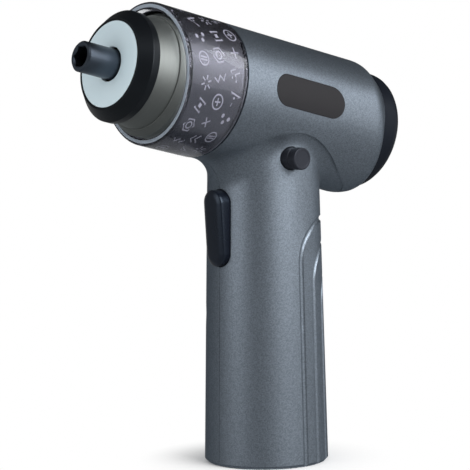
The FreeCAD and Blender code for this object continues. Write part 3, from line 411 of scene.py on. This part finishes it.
def lathe(name, outline, axis_frame, segments=160, station=square):
    """A turned piece: a closed outline in millimetres, spun about the x axis of a frame."""
    form = bmesh.new()
    rings = []
    for along, radius in soften(outline):
        if radius < 1e-6:
            rings.append([form.verts.new((along * mm, 0, 0))])
            continue
        angles = [2 * math.pi * k / segments for k in range(segments)]
        points = [(radius * math.cos(a), radius * math.sin(a)) for a in angles]
        rings.append([form.verts.new(Vector((station(along, z), y, z)) * mm) for y, z in points])
    for k, ring in enumerate(rings):
        after = rings[(k + 1) % len(rings)]
        for j in range(segments):
            corners = [ring[j % len(ring)], ring[(j + 1) % len(ring)]]
            corners += [after[(j + 1) % len(after)], after[j % len(after)]]
            corners = list(dict.fromkeys(corners))
            if len(corners) > 2:
                form.faces.new(corners)
    bmesh.ops.recalc_face_normals(form, faces=form.faces)
    return finished_mesh(name, form, axis_frame)


cone_silver = turned_metal(
    "cone_silver", (0.150, 0.162, 0.158, 1), (0.195, 0.207, 0.203, 1), 0.52, 0.62, 2500.0, 0.10)
cone_turned = lathe("cone_turned", [
    (27.5, 16.0), (27.5, 18.2, 0.3), (43.9, 18.2, 0.8), (45.6, 20.4, 0.4), (49.4, 20.4, 0.6),
    (51.9, 18.9, 0.3), (51.9, 18.4), (59.5, 16.9, 0.2), (59.5, 13.3), (61.4, 13.3, 0.2), (61.4, 8.09),
    (53.4, 8.09), (53.4, 7.1), (51.4, 7.1), (51.4, 5.34), (32.5, 5.34), (32.5, 8.0), (27.5, 8.0),
    (27.5, 9.6), (51.2, 9.6), (51.2, 16.0),
], barrel_frame)
fit(cone_turned, cone_silver, "housing", "plated_silver", "nose_cone")

# Printed film: a dark satin sheet rolled inside the clear cover, printed with a scatter of pale line motifs.
# The sheet is bedded in the cover's wall, and the motifs' corners stand a hair's breadth above it.
# A long stroke that runs round the barrel dips into the sheet between its corners.

cover_radius = 23.0
cover_square_at = 29.3
cover_rim = 54.5
rim_lean = 0.155


def under_rim(along, height):
    """The station of a point on the cover or its film, whose front ends lie further back at the foot."""
    return along + rim_lean * (height - cover_radius) * ramp(along, cover_square_at, cover_rim)


film_radius = 20.85
film_rear = 27.2
film_front = 51.85
film_thickness = 0.3

film_dark = moulded_finish(
    "film_dark", (0.116, 0.116, 0.138, 1), (0.146, 0.146, 0.172, 1), 0.24, 0.29, 500.0, 0.0,
    Metallic=0.95)
film_sheet = lathe("film_sheet", [
    (film_rear, film_radius - film_thickness), (film_rear, film_radius),
    (film_front, film_radius), (film_front, film_radius - film_thickness),
], barrel_frame, segments=192, station=under_rim)
fit(film_sheet, film_dark, "housing", "film", "printed_film")

print_lilac = moulded_finish(
    "print_lilac", (0.24, 0.235, 0.29, 1), (0.29, 0.285, 0.35, 1), 0.45, 0.55, 900.0, 0.05)

print_depth = 0.02
line_width = 0.5
mitre_limit = 0.3
motif_stride = 7


def flat_ring(form, sides, outer, inner, turn_deg=0.0):
    """A flat band between two like polygons."""
    def corner(radius, k):
        angle = math.radians(turn_deg) + 2 * math.pi * k / sides
        return form.verts.new((radius * math.cos(angle), radius * math.sin(angle), 0))

    outside = [corner(outer, k) for k in range(sides)]
    inside = [corner(inner, k) for k in range(sides)]
    for k in range(sides):
        form.faces.new((outside[k], outside[(k + 1) % sides], inside[(k + 1) % sides], inside[k]))


def flat_disc(form, sides, radius, x=0.0, y=0.0):
    """A flat filled polygon about a point."""
    angles = [2 * math.pi * k / sides for k in range(sides)]
    form.faces.new([form.verts.new((x + radius * math.cos(a), y + radius * math.sin(a), 0)) for a in angles])


def flat_line(form, *stops):
    """A stroke of even width through its stops, mitred at the bends."""
    points = [Vector(stop) for stop in stops]
    ways = [(b - a).normalized() for a, b in zip(points, points[1:])]
    sides = []
    for k, point in enumerate(points):
        before, after = ways[max(k - 1, 0)], ways[min(k, len(ways) - 1)]
        across = (before.orthogonal() + after.orthogonal()).normalized()
        across *= line_width / 2 / max(across.dot(before.orthogonal()), mitre_limit)
        sides.append([form.verts.new((*(point + across), 0)), form.verts.new((*(point - across), 0))])
    for (a, b), (c, d) in zip(sides, sides[1:]):
        form.faces.new((a, b, d, c))


# The motifs are drawn flat, in millimetres, each round its own middle.
def hex_nut(form):
    flat_ring(form, 6, 2.9, 2.9 - line_width * 1.15)
    flat_ring(form, 20, 1.5, 1.5 - line_width)


def cross_head(form):
    flat_ring(form, 24, 2.6, 2.6 - line_width)
    flat_line(form, (-1.3, 0), (1.3, 0))
    flat_line(form, (0, line_width / 2), (0, 1.3))
    flat_line(form, (0, -line_width / 2), (0, -1.3))


def zigzag(form):
    flat_line(form, (-2.8, -0.9), (-1.4, 0.9), (0, -0.9), (1.4, 0.9), (2.8, -0.9))


def double_chevron(form):
    flat_line(form, (-1.9, -1.8), (-0.2, 0), (-1.9, 1.8))
    flat_line(form, (0.3, -1.8), (2.0, 0), (0.3, 1.8))


def open_triangle(form):
    flat_ring(form, 3, 2.9, 2.9 - line_width * 2, 90)
    flat_disc(form, 12, 0.42)


def diamond(form):
    flat_ring(form, 4, 2.8, 2.8 - line_width * 1.45)
    flat_disc(form, 4, 1.0)


def plus_sign(form):
    flat_line(form, (-1.9, 0), (1.9, 0))
    flat_line(form, (0, line_width / 2), (0, 1.9))
    flat_line(form, (0, -line_width / 2), (0, -1.9))


def three_dots(form):
    for x, y in ((-1.7, -0.8), (0, 1.0), (1.7, -0.8)):
        flat_disc(form, 14, 0.72, x, y)


def star_burst(form):
    for k in range(6):
        angle = math.pi * k / 3
        way = Vector((math.cos(angle), math.sin(angle)))
        flat_line(form, way * 0.9, way * 2.4)


def slotted_head(form):
    flat_ring(form, 24, 2.4, 2.4 - line_width)
    flat_line(form, (-1.5, -0.45), (1.5, -0.45))
    flat_line(form, (-1.5, 0.45), (1.5, 0.45))


motifs = bpy.data.collections.new("film_motifs")
drawings = (hex_nut, zigzag, cross_head, plus_sign, double_chevron,
            open_triangle, three_dots, slotted_head, star_burst, diamond)
for number, draw in enumerate(drawings):
    form = bmesh.new()
    draw(form)
    risen = bmesh.ops.extrude_face_region(form, geom=list(form.faces))["geom"]
    lifted = [part for part in risen if isinstance(part, bmesh.types.BMVert)]
    bmesh.ops.translate(form, vec=(0, 0, print_depth), verts=lifted)
    bmesh.ops.recalc_face_normals(form, faces=form.faces)
    bmesh.ops.scale(form, vec=(mm, mm, mm), verts=form.verts)
    name = f"motif_{number}"
    motifs.objects.link(bpy.data.objects.new(name, as_mesh(name, form)))


def node_tree_for(name, inputs):
    """A geometry tree with a geometry input and output and named sizes, returned with its two end nodes."""
    tree = bpy.data.node_groups.new(name, "GeometryNodeTree")
    tree.interface.new_socket("Geometry", in_out="INPUT", socket_type="NodeSocketGeometry")
    for label, kind in inputs.items():
        tree.interface.new_socket(label, in_out="INPUT", socket_type=kind)
    tree.interface.new_socket("Geometry", in_out="OUTPUT", socket_type="NodeSocketGeometry")
    return tree, tree.nodes.new("NodeGroupInput"), tree.nodes.new("NodeGroupOutput")


def grown(name, tree, carrier_mesh, values):
    """The plain mesh that a geometry tree grows on a carrier, as a linked object."""
    carrier = linked(name, carrier_mesh)
    modifier = carrier.modifiers.new("grow", "NODES")
    modifier.node_group = tree
    for item in tree.interface.items_tree:
        if item.in_out == "INPUT" and item.name in values:
            modifier[item.identifier] = values[item.name]
    bpy.context.view_layer.update()
    ready = carrier.evaluated_get(bpy.context.evaluated_depsgraph_get())
    mesh = bpy.data.meshes.new_from_object(ready)
    carrier.modifiers.remove(modifier)
    carrier.data = mesh
    return carrier


def float_socket(sockets, name):
    """The float socket of a name, on a node that has one for each kind of value."""
    return next(socket for socket in sockets if socket.name == name and socket.type == "VALUE")


def math_node(tree, operation, first, second=None):
    """A math node on links or plain numbers, as its output."""
    node = tree.nodes.new("ShaderNodeMath")
    node.operation = operation
    for socket, value in zip(node.inputs, (first, second)):
        if value is None:
            continue
        if isinstance(value, (int, float)):
            socket.default_value = value
        else:
            tree.links.new(value, socket)
    return node.outputs["Value"]


# The tree sets one motif on every point of a flat sheet, turns it by its own angle,
# and then rolls the sheet about the barrel axis.
roll, roll_in, roll_out = node_tree_for("printed_motifs", {
    "Motifs": "NodeSocketCollection", "Radius": "NodeSocketFloat", "Greatest turn": "NodeSocketFloat",
    "Motif size": "NodeSocketFloat", "Ink": "NodeSocketMaterial", "Square at": "NodeSocketFloat",
    "Rim": "NodeSocketFloat", "Rim height": "NodeSocketFloat", "Lean": "NodeSocketFloat"})
pick = roll.nodes.new("GeometryNodeCollectionInfo")
pick.inputs["Separate Children"].default_value = True
pick.inputs["Reset Children"].default_value = True
index = roll.nodes.new("GeometryNodeInputIndex")
turn = roll.nodes.new("FunctionNodeRandomValue")
turn.data_type = "FLOAT"
turn.inputs["Seed"].default_value = 11
turn_vector = roll.nodes.new("ShaderNodeCombineXYZ")
stamp = roll.nodes.new("GeometryNodeInstanceOnPoints")
stamp.inputs["Pick Instance"].default_value = True
solid = roll.nodes.new("GeometryNodeRealizeInstances")
where = roll.nodes.new("GeometryNodeInputPosition")
flat = roll.nodes.new("ShaderNodeSeparateXYZ")
rolled = roll.nodes.new("ShaderNodeCombineXYZ")
bend = roll.nodes.new("GeometryNodeSetPosition")
ink = roll.nodes.new("GeometryNodeSetMaterial")
roll.links.new(roll_in.outputs["Motifs"], pick.inputs["Collection"])
least_turn = math_node(roll, "MULTIPLY", roll_in.outputs["Greatest turn"], -1.0)
roll.links.new(roll_in.outputs["Greatest turn"], float_socket(turn.inputs, "Max"))
roll.links.new(least_turn, float_socket(turn.inputs, "Min"))
roll.links.new(float_socket(turn.outputs, "Value"), turn_vector.inputs["Z"])
roll.links.new(roll_in.outputs["Geometry"], stamp.inputs["Points"])
roll.links.new(pick.outputs["Instances"], stamp.inputs["Instance"])
picked = math_node(roll, "MULTIPLY", index.outputs["Index"], motif_stride)
roll.links.new(picked, stamp.inputs["Instance Index"])
roll.links.new(turn_vector.outputs["Vector"], stamp.inputs["Rotation"])
roll.links.new(roll_in.outputs["Motif size"], stamp.inputs["Scale"])
roll.links.new(stamp.outputs["Instances"], solid.inputs["Geometry"])
roll.links.new(where.outputs["Position"], flat.inputs["Vector"])
angle = math_node(roll, "DIVIDE", flat.outputs["Y"], roll_in.outputs["Radius"])
radius = math_node(roll, "ADD", flat.outputs["Z"], roll_in.outputs["Radius"])
height = math_node(roll, "MULTIPLY", radius, math_node(roll, "COSINE", angle))
gone = roll.nodes.new("ShaderNodeMapRange")
roll.links.new(flat.outputs["X"], gone.inputs["Value"])
roll.links.new(roll_in.outputs["Square at"], gone.inputs["From Min"])
roll.links.new(roll_in.outputs["Rim"], gone.inputs["From Max"])
drop = math_node(roll, "SUBTRACT", height, roll_in.outputs["Rim height"])
share = math_node(roll, "MULTIPLY", drop, gone.outputs["Result"])
lean = math_node(roll, "MULTIPLY", share, roll_in.outputs["Lean"])
roll.links.new(math_node(roll, "ADD", flat.outputs["X"], lean), rolled.inputs["X"])
roll.links.new(math_node(roll, "MULTIPLY", radius, math_node(roll, "SINE", angle)), rolled.inputs["Y"])
roll.links.new(height, rolled.inputs["Z"])
roll.links.new(solid.outputs["Geometry"], bend.inputs["Geometry"])
roll.links.new(rolled.outputs["Vector"], bend.inputs["Position"])
roll.links.new(bend.outputs["Geometry"], ink.inputs["Geometry"])
roll.links.new(roll_in.outputs["Ink"], ink.inputs["Material"])
roll.links.new(ink.outputs["Geometry"], roll_out.inputs["Geometry"])

motif_columns = 18
motif_rows = 3
first_row = 4.1
row_step = 7.2
row_shift = 0.33
row_sway = 0.78
sway_step = 2.1
print_lift = 0.005
sheet_points = bpy.data.meshes.new("sheet_points")
places = []
for column in range(motif_columns):
    for row in range(motif_rows):
        along = film_rear + first_row + row * row_step + row_sway * math.sin(column * sway_step + row)
        around = 2 * math.pi * film_radius * (column + row_shift * row) / motif_columns
        places.append((along * mm, around * mm, 0))
sheet_points.from_pydata(places, [], [])
film_print = grown("film_print", roll, sheet_points, {
    "Motifs": motifs, "Radius": (film_radius + print_lift) * mm, "Greatest turn": 0.7, "Motif size": 1.0,
    "Ink": print_lilac, "Square at": cover_square_at * mm, "Rim": cover_rim * mm,
    "Rim height": cover_radius * mm, "Lean": rim_lean})
film_print.data.transform(barrel_frame)
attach(film_print, "housing")

# Clear nose cover: a polycarbonate tube with a rounded rim, plugged into the barrel by a thin spigot.
# A pale opaque ring in the rim is painted light: it stands for the light that the clear rim lets through and
# reflects at its front.
# A black gasket fills the joint with the barrel.

cover_bore = 20.8
spigot_rear = 22.0
spigot_radius = 20.4
spigot_bore = 18.9
cover_rear = 27.1
cover_floor = 27.6
painted_rim_outer = 22.25
painted_rim_inner = 21.25
painted_rim_front = cover_rim - 0.3
painted_rim_rear = cover_rim - 0.45

clear_cover, tree, shader = new_finish("clear_cover")
grains = place_group(tree, grain, Grains_per_metre=150.0)
tree.links.new(value_between(tree, grains.outputs["Cloud"], 0.02, 0.05), shader.inputs["Roughness"])
shader.inputs["Base Color"].default_value = (0.90, 0.925, 0.955, 1)
shader.inputs["Specular Tint"].default_value = (0.45, 0.48, 0.52, 1)
shader.inputs["Transmission Weight"].default_value = 1.0
shader.inputs["IOR"].default_value = 1.5
light_path = tree.nodes.new("ShaderNodeLightPath")
see_through = tree.nodes.new("ShaderNodeBsdfTransparent")
shadow_mix = tree.nodes.new("ShaderNodeMixShader")
tree.links.new(light_path.outputs["Is Shadow Ray"], shadow_mix.inputs[0])
tree.links.new(shader.outputs["BSDF"], shadow_mix.inputs[1])
tree.links.new(see_through.outputs["BSDF"], shadow_mix.inputs[2])
tree.links.new(shadow_mix.outputs["Shader"], tree.nodes["Material Output"].inputs["Surface"])
cover_tube = lathe("cover_tube", [
    (spigot_rear, spigot_bore), (spigot_rear, spigot_radius, 0.3), (cover_rear, spigot_radius),
    (cover_rear, cover_radius, 0.15), (cover_rim, cover_radius, 0.9), (cover_rim, cover_bore, 0.5),
    (cover_floor, cover_bore), (cover_floor, spigot_bore),
], barrel_frame, segments=256, station=under_rim)
fit(cover_tube, clear_cover, "housing", "clear_plastic", "clear_nose_cover")
# Painted light: an opaque pale grey-blue ring, in place of the light that shows in the clear rim.
rim_painted_light = moulded_finish(
    "rim_painted_light", (0.34, 0.39, 0.45, 1), (0.40, 0.45, 0.51, 1), 0.40, 0.50, 1200.0, 0.05)
rim_ring = lathe("rim_ring", [
    (painted_rim_rear, painted_rim_inner), (painted_rim_rear, painted_rim_outer),
    (painted_rim_front, painted_rim_outer), (painted_rim_front, painted_rim_inner),
], barrel_frame, segments=192, station=under_rim)
fit(rim_ring, rim_painted_light, "housing", "clear_plastic")

# Rear cap and small black mouldings: the cap, the switches and the motor's end bell, satin with a fine grain.
# The cap plugs into the tail, and the gasket, of rubber, shares the switches' colour.

black_grains_per_metre = 2800.0


def black_moulding(name, low, high, roughness, strength, shine, tint):
    """A near-black moulded plastic, with its share of shine and the colour of its reflections."""
    return moulded_finish(name, low, high, *roughness, black_grains_per_metre, strength,
                          Specular_IOR_Level=shine, Specular_Tint=tint)


satin_black = black_moulding(
    "satin_black", (0.0045, 0.0056, 0.0085, 1), (0.0070, 0.0085, 0.0125, 1),
    (0.40, 0.50), 0.08, 0.20, (0.70, 0.84, 1.0, 1))
dress(satin_black, "trigger_switch", "direction_switch", "motor_end_bell", "joint_gasket")
cap_turned = lathe("cap_turned", [
    (-46.1, 0), (-46.9, 13.5), (-46.9, 20.4, 4.0), (-34.2, 20.4), (-34.2, 19.8), (-32.8, 19.8),
    (-32.8, 20.4), (-31.0, 20.4, 0.3), (-31.0, 18.2), (-42.9, 18.2), (-42.9, 0),
], barrel_frame)
cap_black = black_moulding(
    "cap_black", (0.0040, 0.0052, 0.0085, 1), (0.0062, 0.0078, 0.0122, 1),
    (0.42, 0.52), 0.08, 0.13, (0.70, 0.84, 1.0, 1))
fit(cap_turned, cap_black, "housing", "black_plastic", "rear_cap")

# Lamp bezel: a smooth black moulded ring, pressed onto the nose cone.
# Its cone runs down to the lip that holds the diffuser.

bezel_black = black_moulding(
    "bezel_black", (0.0030, 0.0036, 0.0048, 1), (0.0050, 0.0060, 0.0075, 1),
    (0.30, 0.38), 0.05, 0.20, (0.80, 0.90, 1.0, 1))
bezel_turned = lathe("bezel_turned", [
    (59.5, 13.35), (59.5, 18.3, 0.4), (62.3, 18.3, 0.5), (65.8, 14.95, 0.35), (65.8, 14.25),
    (63.9, 14.25), (63.9, 13.35),
], barrel_frame)
fit(bezel_turned, bezel_black, "housing", "gloss_black", "lamp_bezel")

# Lamp diffuser: a milky disc round the spindle, in front of the diodes.
# It is moulded in translucent plastic and dished a little towards the middle.

milky_white = moulded_finish(
    "milky_white", (0.62, 0.76, 0.82, 1), (0.68, 0.81, 0.87, 1), 0.36, 0.42, 700.0, 0.03,
    Subsurface_Weight=0.2, Subsurface_Radius=(0.002, 0.002, 0.002))
diffuser_turned = lathe("diffuser_turned", [
    (63.9, 5.64), (65.45, 5.64, 0.25), (65.8, 14.2, 0.3), (63.9, 14.2),
], barrel_frame)
fit(diffuser_turned, milky_white, "housing", "diffuser_white", "lamp_diffuser")

# Trigger: a long black key with round ends and a chamfered sloping face.
# It is moulded with a flange that keeps it behind the handle's window.
# Its spring, which shortens as the key goes in, gets a mesh of its own.

trigger_length = 25.6
trigger_width = 9.2
trigger_middle = 80.1
trigger_low = 21.886
trigger_high = 23.325
flange_back = 13.65
flange_front = 15.25
flange_wide = 1.2
chamfer_stops = ((0, 1.7), (0, 1.0), (0.12, 0.76), (0.38, 0.58), (1.25, 0.17), (1.62, 0.05), (2.1, 0))


def round_ended(inset, segments=96):
    """Points (y, z) of a round-ended outline, drawn in by an inset, about the trigger's middle."""
    radius = trigger_width / 2 - inset
    rise = (trigger_length - trigger_width) / 2
    angles = [2 * math.pi * (k + 0.5) / segments for k in range(segments)]
    return [(radius * math.cos(a), radius * math.sin(a) + math.copysign(rise, math.sin(a))) for a in angles]


def key_face(z):
    """How far forward the sloping face stands at a height from the trigger's middle."""
    return trigger_low + (trigger_high - trigger_low) * (z / trigger_length + 0.5)


def join_loops(form, near, far):
    """A band of faces between two loops of as many points."""
    for k in range(len(near)):
        form.faces.new((near[k - 1], near[k], far[k], far[k - 1]))


form = bmesh.new()
sections = [[(x, *point) for point in round_ended(inset)] for x, inset in (
    (flange_back, -flange_wide), (flange_front, -flange_wide), (flange_front, 0))]
sections += [[(key_face(z) - drop, y, z) for y, z in round_ended(inset)] for inset, drop in chamfer_stops]
loops = []
for section in sections:
    loops.append([form.verts.new((x * mm, y * mm, (trigger_middle + z) * mm)) for x, y, z in section])
for near, far in zip(loops, loops[1:]):
    join_loops(form, near, far)
form.faces.new(loops[0])
form.faces.new(loops[-1])
bmesh.ops.recalc_face_normals(form, faces=form.faces)
trigger_key = finished_mesh("trigger_key", form, Matrix.Identity(4), sharp_deg=30)
trigger_black = black_moulding(
    "trigger_black", (0.0032, 0.0042, 0.0078, 1), (0.0048, 0.0062, 0.0108, 1),
    (0.24, 0.31), 0.04, 0.40, (0.62, 0.78, 1.0, 1))
fit(trigger_key, trigger_black, "trigger_body", "black_plastic", "trigger")

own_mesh(nodes["trigger_spring"])

# Direction button: a moulded black bar pushed through the neck from side to side.
# Its left end is dished, has a groove and rounded edges, and slides in until it is nearly flush.

button_place = Matrix.Translation(Vector((3.4, 0, 103.2)) * mm) @ Matrix.Rotation(math.pi / 2, 4, "Z")
button_bar = lathe("button_bar", [
    (-18.99, 0), (-18.99, 3.7, 0.45), (20.3, 3.7), (20.45, 3.5), (20.95, 3.5), (21.1, 3.7),
    (23.89, 3.7, 0.4), (23.89, 3.0, 0.15), (23.77, 2.85, 0.15), (23.77, 0),
], button_place, segments=96)
button_black = black_moulding(
    "button_black", (0.0110, 0.0120, 0.0165, 1), (0.0160, 0.0172, 0.0230, 1),
    (0.42, 0.52), 0.08, 0.30, (0.78, 0.86, 1.0, 1))
fit(button_bar, button_black, "selector", "black_plastic", "direction_button")

# Housing screws: blackened pan heads with a cross recess, driven in from the right.
# Five alike hold the two halves of the housing together.

screw_head_radius = 2.3
screw_head_length = 1.8
screw_shank_radius = 1.3
screw_tip_radius = 0.3
screw_shank_length = 15.0
screw_seat = -8.0
recess_arm = 1.3
recess_half = 0.3
recess_depth = 0.8
recess_taper = 0.7
head_rounds = ((0, 1.1), (0.15, 1.5), (0.45, 1.74), (0.72, 1.8))


def circle(radius, segments=36):
    """Points of a circle about the screw's axis."""
    angles = [2 * math.pi * k / segments for k in range(segments)]
    return [(radius * math.cos(a), radius * math.sin(a)) for a in angles]


def cross(arm, half):
    """A cross of two bars, corner by corner."""
    quarter = [(arm, -half), (arm, half), (half, half)]
    turns = ((1, 0), (0, 1), (-1, 0), (0, -1))
    return [(x * c - y * s, x * s + y * c) for c, s in turns for x, y in quarter]


form = bmesh.new()
levels = [(circle(screw_tip_radius), -screw_shank_length),
          (circle(screw_shank_radius), 2 * screw_shank_radius - screw_shank_length),
          (circle(screw_shank_radius), 0), (circle(screw_head_radius), 0)]
levels += [(circle(screw_head_radius - drawn_in), height) for drawn_in, height in head_rounds]
loops = [[form.verts.new(Vector((x, y, height)) * mm) for x, y in points] for points, height in levels]
recess = [(cross(recess_arm, recess_half), screw_head_length),
          (cross(recess_arm * recess_taper, recess_half * recess_taper), screw_head_length - recess_depth)]
recess = [[form.verts.new(Vector((x, y, height)) * mm) for x, y in points] for points, height in recess]
for near, far in (*zip(loops, loops[1:]), recess):
    join_loops(form, near, far)
form.faces.new(loops[0])
form.faces.new(recess[1])
rims = [form.edges.get((loop[k - 1], loop[k])) for loop in (loops[-1], recess[0]) for k in range(len(loop))]
bmesh.ops.triangle_fill(form, use_beauty=True, edges=rims)
bmesh.ops.recalc_face_normals(form, faces=form.faces)
screw_kind = bpy.data.collections.new("screw_kind")
screw_kind.objects.link(bpy.data.objects.new("screw", smooth_mesh("screw", form)))

# The tree drives one screw in at each point, along +Y, with its cross turned by chance.
driven, driven_in, driven_out = node_tree_for("driven_screws", {
    "Kind": "NodeSocketCollection", "Greatest turn": "NodeSocketFloat", "Finish": "NodeSocketMaterial"})
kind = driven.nodes.new("GeometryNodeCollectionInfo")
by_chance = driven.nodes.new("FunctionNodeRandomValue")
by_chance.data_type = "FLOAT"
by_chance.inputs["Seed"].default_value = 4
set_in = driven.nodes.new("ShaderNodeCombineXYZ")
set_in.inputs["X"].default_value = math.pi / 2
drive_in = driven.nodes.new("GeometryNodeInstanceOnPoints")
screws_solid = driven.nodes.new("GeometryNodeRealizeInstances")
screws_finish = driven.nodes.new("GeometryNodeSetMaterial")
driven.links.new(driven_in.outputs["Kind"], kind.inputs["Collection"])
driven.links.new(driven_in.outputs["Greatest turn"], float_socket(by_chance.inputs, "Max"))
driven.links.new(float_socket(by_chance.outputs, "Value"), set_in.inputs["Y"])
driven.links.new(driven_in.outputs["Geometry"], drive_in.inputs["Points"])
driven.links.new(kind.outputs["Instances"], drive_in.inputs["Instance"])
driven.links.new(set_in.outputs["Vector"], drive_in.inputs["Rotation"])
driven.links.new(drive_in.outputs["Instances"], screws_solid.inputs["Geometry"])
driven.links.new(screws_solid.outputs["Geometry"], screws_finish.inputs["Geometry"])
driven.links.new(driven_in.outputs["Finish"], screws_finish.inputs["Material"])
driven.links.new(screws_finish.outputs["Geometry"], driven_out.inputs["Geometry"])

seats = []
for vert in nodes["housing_screws"].data.vertices:
    spot = Vector((vert.co.x, vert.co.z))
    near = next((seat for seat in seats if (seat[0] - spot).length < 3 * screw_head_radius * mm), None)
    if near:
        near.append(spot)
    else:
        seats.append([spot])
places = []
for seat in seats:
    x = (min(spot.x for spot in seat) + max(spot.x for spot in seat)) / 2
    z = (min(spot.y for spot in seat) + max(spot.y for spot in seat)) / 2
    places.append((x, screw_seat * mm, z))
screw_points = bpy.data.meshes.new("screw_points")
screw_points.from_pydata(places, [], [])
housing_fixings = grown("housing_fixings", driven, screw_points, {
    "Kind": screw_kind, "Greatest turn": 1.5, "Finish": black_steel})
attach(housing_fixings, "housing")
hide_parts("housing_screws")

# Studio: a pale floor, a white surround, soft boxes and the camera of the photograph.
# Cards that only reflections see stand for the dark and pale sides of the room.

camera_data = bpy.data.cameras.new("camera")
camera = linked("camera", camera_data)
bpy.context.scene.camera = camera
camera_turn = math.radians(49.972)
camera_rise = math.radians(4.543)
camera_roll = math.radians(-0.770)
camera_target = Vector((12.748, 0, 77.422)) * mm
camera_distance = 733.25 * mm
sensor_width = 36
focal_pixels = 2188.1
photo_pixels = 470
back = Vector((math.cos(camera_rise) * math.cos(camera_turn), math.cos(camera_rise) * math.sin(camera_turn),
               math.sin(camera_rise)))
level_right = Vector((-math.sin(camera_turn), math.cos(camera_turn), 0))
level_up = back.cross(level_right)
right = level_right * math.cos(camera_roll) + level_up * math.sin(camera_roll)
up = level_up * math.cos(camera_roll) - level_right * math.sin(camera_roll)
camera_axes = Matrix((right, up, back)).transposed().to_4x4()
camera.matrix_world = Matrix.Translation(camera_target + back * camera_distance) @ camera_axes
camera_data.sensor_width = sensor_width
camera_data.lens = sensor_width * focal_pixels / photo_pixels
camera_data.clip_start = 0.01
camera_data.clip_end = 20

studio_middle = Vector((0, 0, 90 * mm))


def aim_at_tool(thing, turn_deg, rise_deg, distance):
    """Sets a lamp or card round the tool: turn from the nose towards the tool's left, rise above level."""
    turn, rise = math.radians(turn_deg), math.radians(rise_deg)
    way = Vector((math.cos(rise) * math.cos(turn), math.cos(rise) * math.sin(turn), math.sin(rise)))
    thing.location = studio_middle + way * distance
    thing.rotation_euler = way.to_track_quat("Z", "Y").to_euler()


def soft_box(name, turn_deg, rise_deg, distance, width, height, power):
    """A rectangular area lamp that faces the tool."""
    lamp_data = bpy.data.lights.new(name, "AREA")
    lamp_data.shape = "RECTANGLE"
    lamp_data.size = width
    lamp_data.size_y = height
    lamp_data.energy = power
    aim_at_tool(linked(name, lamp_data), turn_deg, rise_deg, distance)


def grey_card(name, turn_deg, rise_deg, distance, width, height, level, through_glass=False):
    """A grey card of a given level that only reflections see, and those through glass where it says so."""
    card_grey, tree, shader = new_finish(name)
    shader.inputs["Base Color"].default_value = (0, 0, 0, 1)
    shader.inputs["Specular IOR Level"].default_value = 0
    shader.inputs["Emission Color"].default_value = (0.95, 0.98, 1.0, 1)
    shader.inputs["Emission Strength"].default_value = level
    form = bmesh.new()
    bmesh.ops.create_grid(form, x_segments=1, y_segments=1, size=0.5)
    bmesh.ops.scale(form, vec=(width, height, 1), verts=form.verts)
    card = linked(name, as_mesh(name, form))
    card.data.materials.append(card_grey)
    aim_at_tool(card, turn_deg, rise_deg, distance)
    card.visible_camera = False
    card.visible_diffuse = False
    card.visible_transmission = through_glass
    card.visible_volume_scatter = False
    card.visible_shadow = False


soft_box("key_box", 98, 30, 0.9, 0.65, 0.60, 8.8)
soft_box("front_box", -6, 15, 0.9, 0.30, 0.60, 0.95)
soft_box("back_box", 150, 28, 1.0, 0.24, 0.24, 0.50)
grey_card("back_card", 215, 35, 1.2, 2.4, 2.0, 0.03)
grey_card("rear_card", 208, 42, 1.15, 1.7, 1.2, 0.03, True)
grey_card("side_card", 285, 15, 1.2, 2.0, 1.3, 0.22)
grey_card("lens_card", 40, 8, 1.2, 1.0, 1.3, 0.10)
grey_card("top_card", 180, 80, 1.2, 1.8, 1.8, 0.03, True)
# These two lie just above the floor.
grey_card("floor_card", 0, 90, -0.0895, 1.2, 1.2, 0.285)
grey_card("floor_sheen", 0, 90, -0.0898, 1.2, 1.2, 0.58, True)

room_light = 0.55
room_seen = 1.0
world = bpy.data.worlds.new("surround")
bpy.context.scene.world = world
world.use_nodes = True
tree = world.node_tree
light_path = tree.nodes.new("ShaderNodeLightPath")
seen = math_node(tree, "MAXIMUM", light_path.outputs["Is Camera Ray"], light_path.outputs["Is Glossy Ray"])
seen = math_node(tree, "MAXIMUM", seen, light_path.outputs["Is Transmission Ray"])
tree.links.new(value_between(tree, seen, room_light, room_seen), tree.nodes["Background"].inputs["Strength"])
tree.nodes["Background"].inputs["Color"].default_value = (1, 1, 1, 1)

floor_radius = 0.7
floor_drop = 0.05 * mm
shadow_full = 0.016
shadow_gone = 0.046
form = bmesh.new()
bmesh.ops.create_circle(form, cap_ends=True, segments=96, radius=floor_radius)
floor = finished_mesh("floor", form, Matrix.Translation((0, 0, -floor_drop)))
floor_white, tree, shader = new_finish("floor_white")
shader.inputs["Base Color"].default_value = (0.9, 0.9, 0.9, 1)
shader.inputs["Roughness"].default_value = 0.8
place = tree.nodes.new("ShaderNodeTexCoord")
reach = tree.nodes.new("ShaderNodeVectorMath")
reach.operation = "LENGTH"
fade = tree.nodes.new("ShaderNodeMapRange")
fade.interpolation_type = "SMOOTHSTEP"
fade.inputs["From Min"].default_value = shadow_full
fade.inputs["From Max"].default_value = shadow_gone
white = tree.nodes.new("ShaderNodeEmission")
light_path = tree.nodes.new("ShaderNodeLightPath")
floor_mix = tree.nodes.new("ShaderNodeMixShader")
tree.links.new(place.outputs["Object"], reach.inputs[0])
tree.links.new(reach.outputs["Value"], fade.inputs["Value"])
bare_white = math_node(tree, "MULTIPLY", fade.outputs["Result"], light_path.outputs["Is Camera Ray"])
tree.links.new(bare_white, floor_mix.inputs[0])
tree.links.new(shader.outputs["BSDF"], floor_mix.inputs[1])
tree.links.new(white.outputs["Emission"], floor_mix.inputs[2])
tree.links.new(floor_mix.outputs["Shader"], tree.nodes["Material Output"].inputs["Surface"])
floor.data.materials.append(floor_white)

bpy.context.scene.view_settings.view_transform = "Standard"
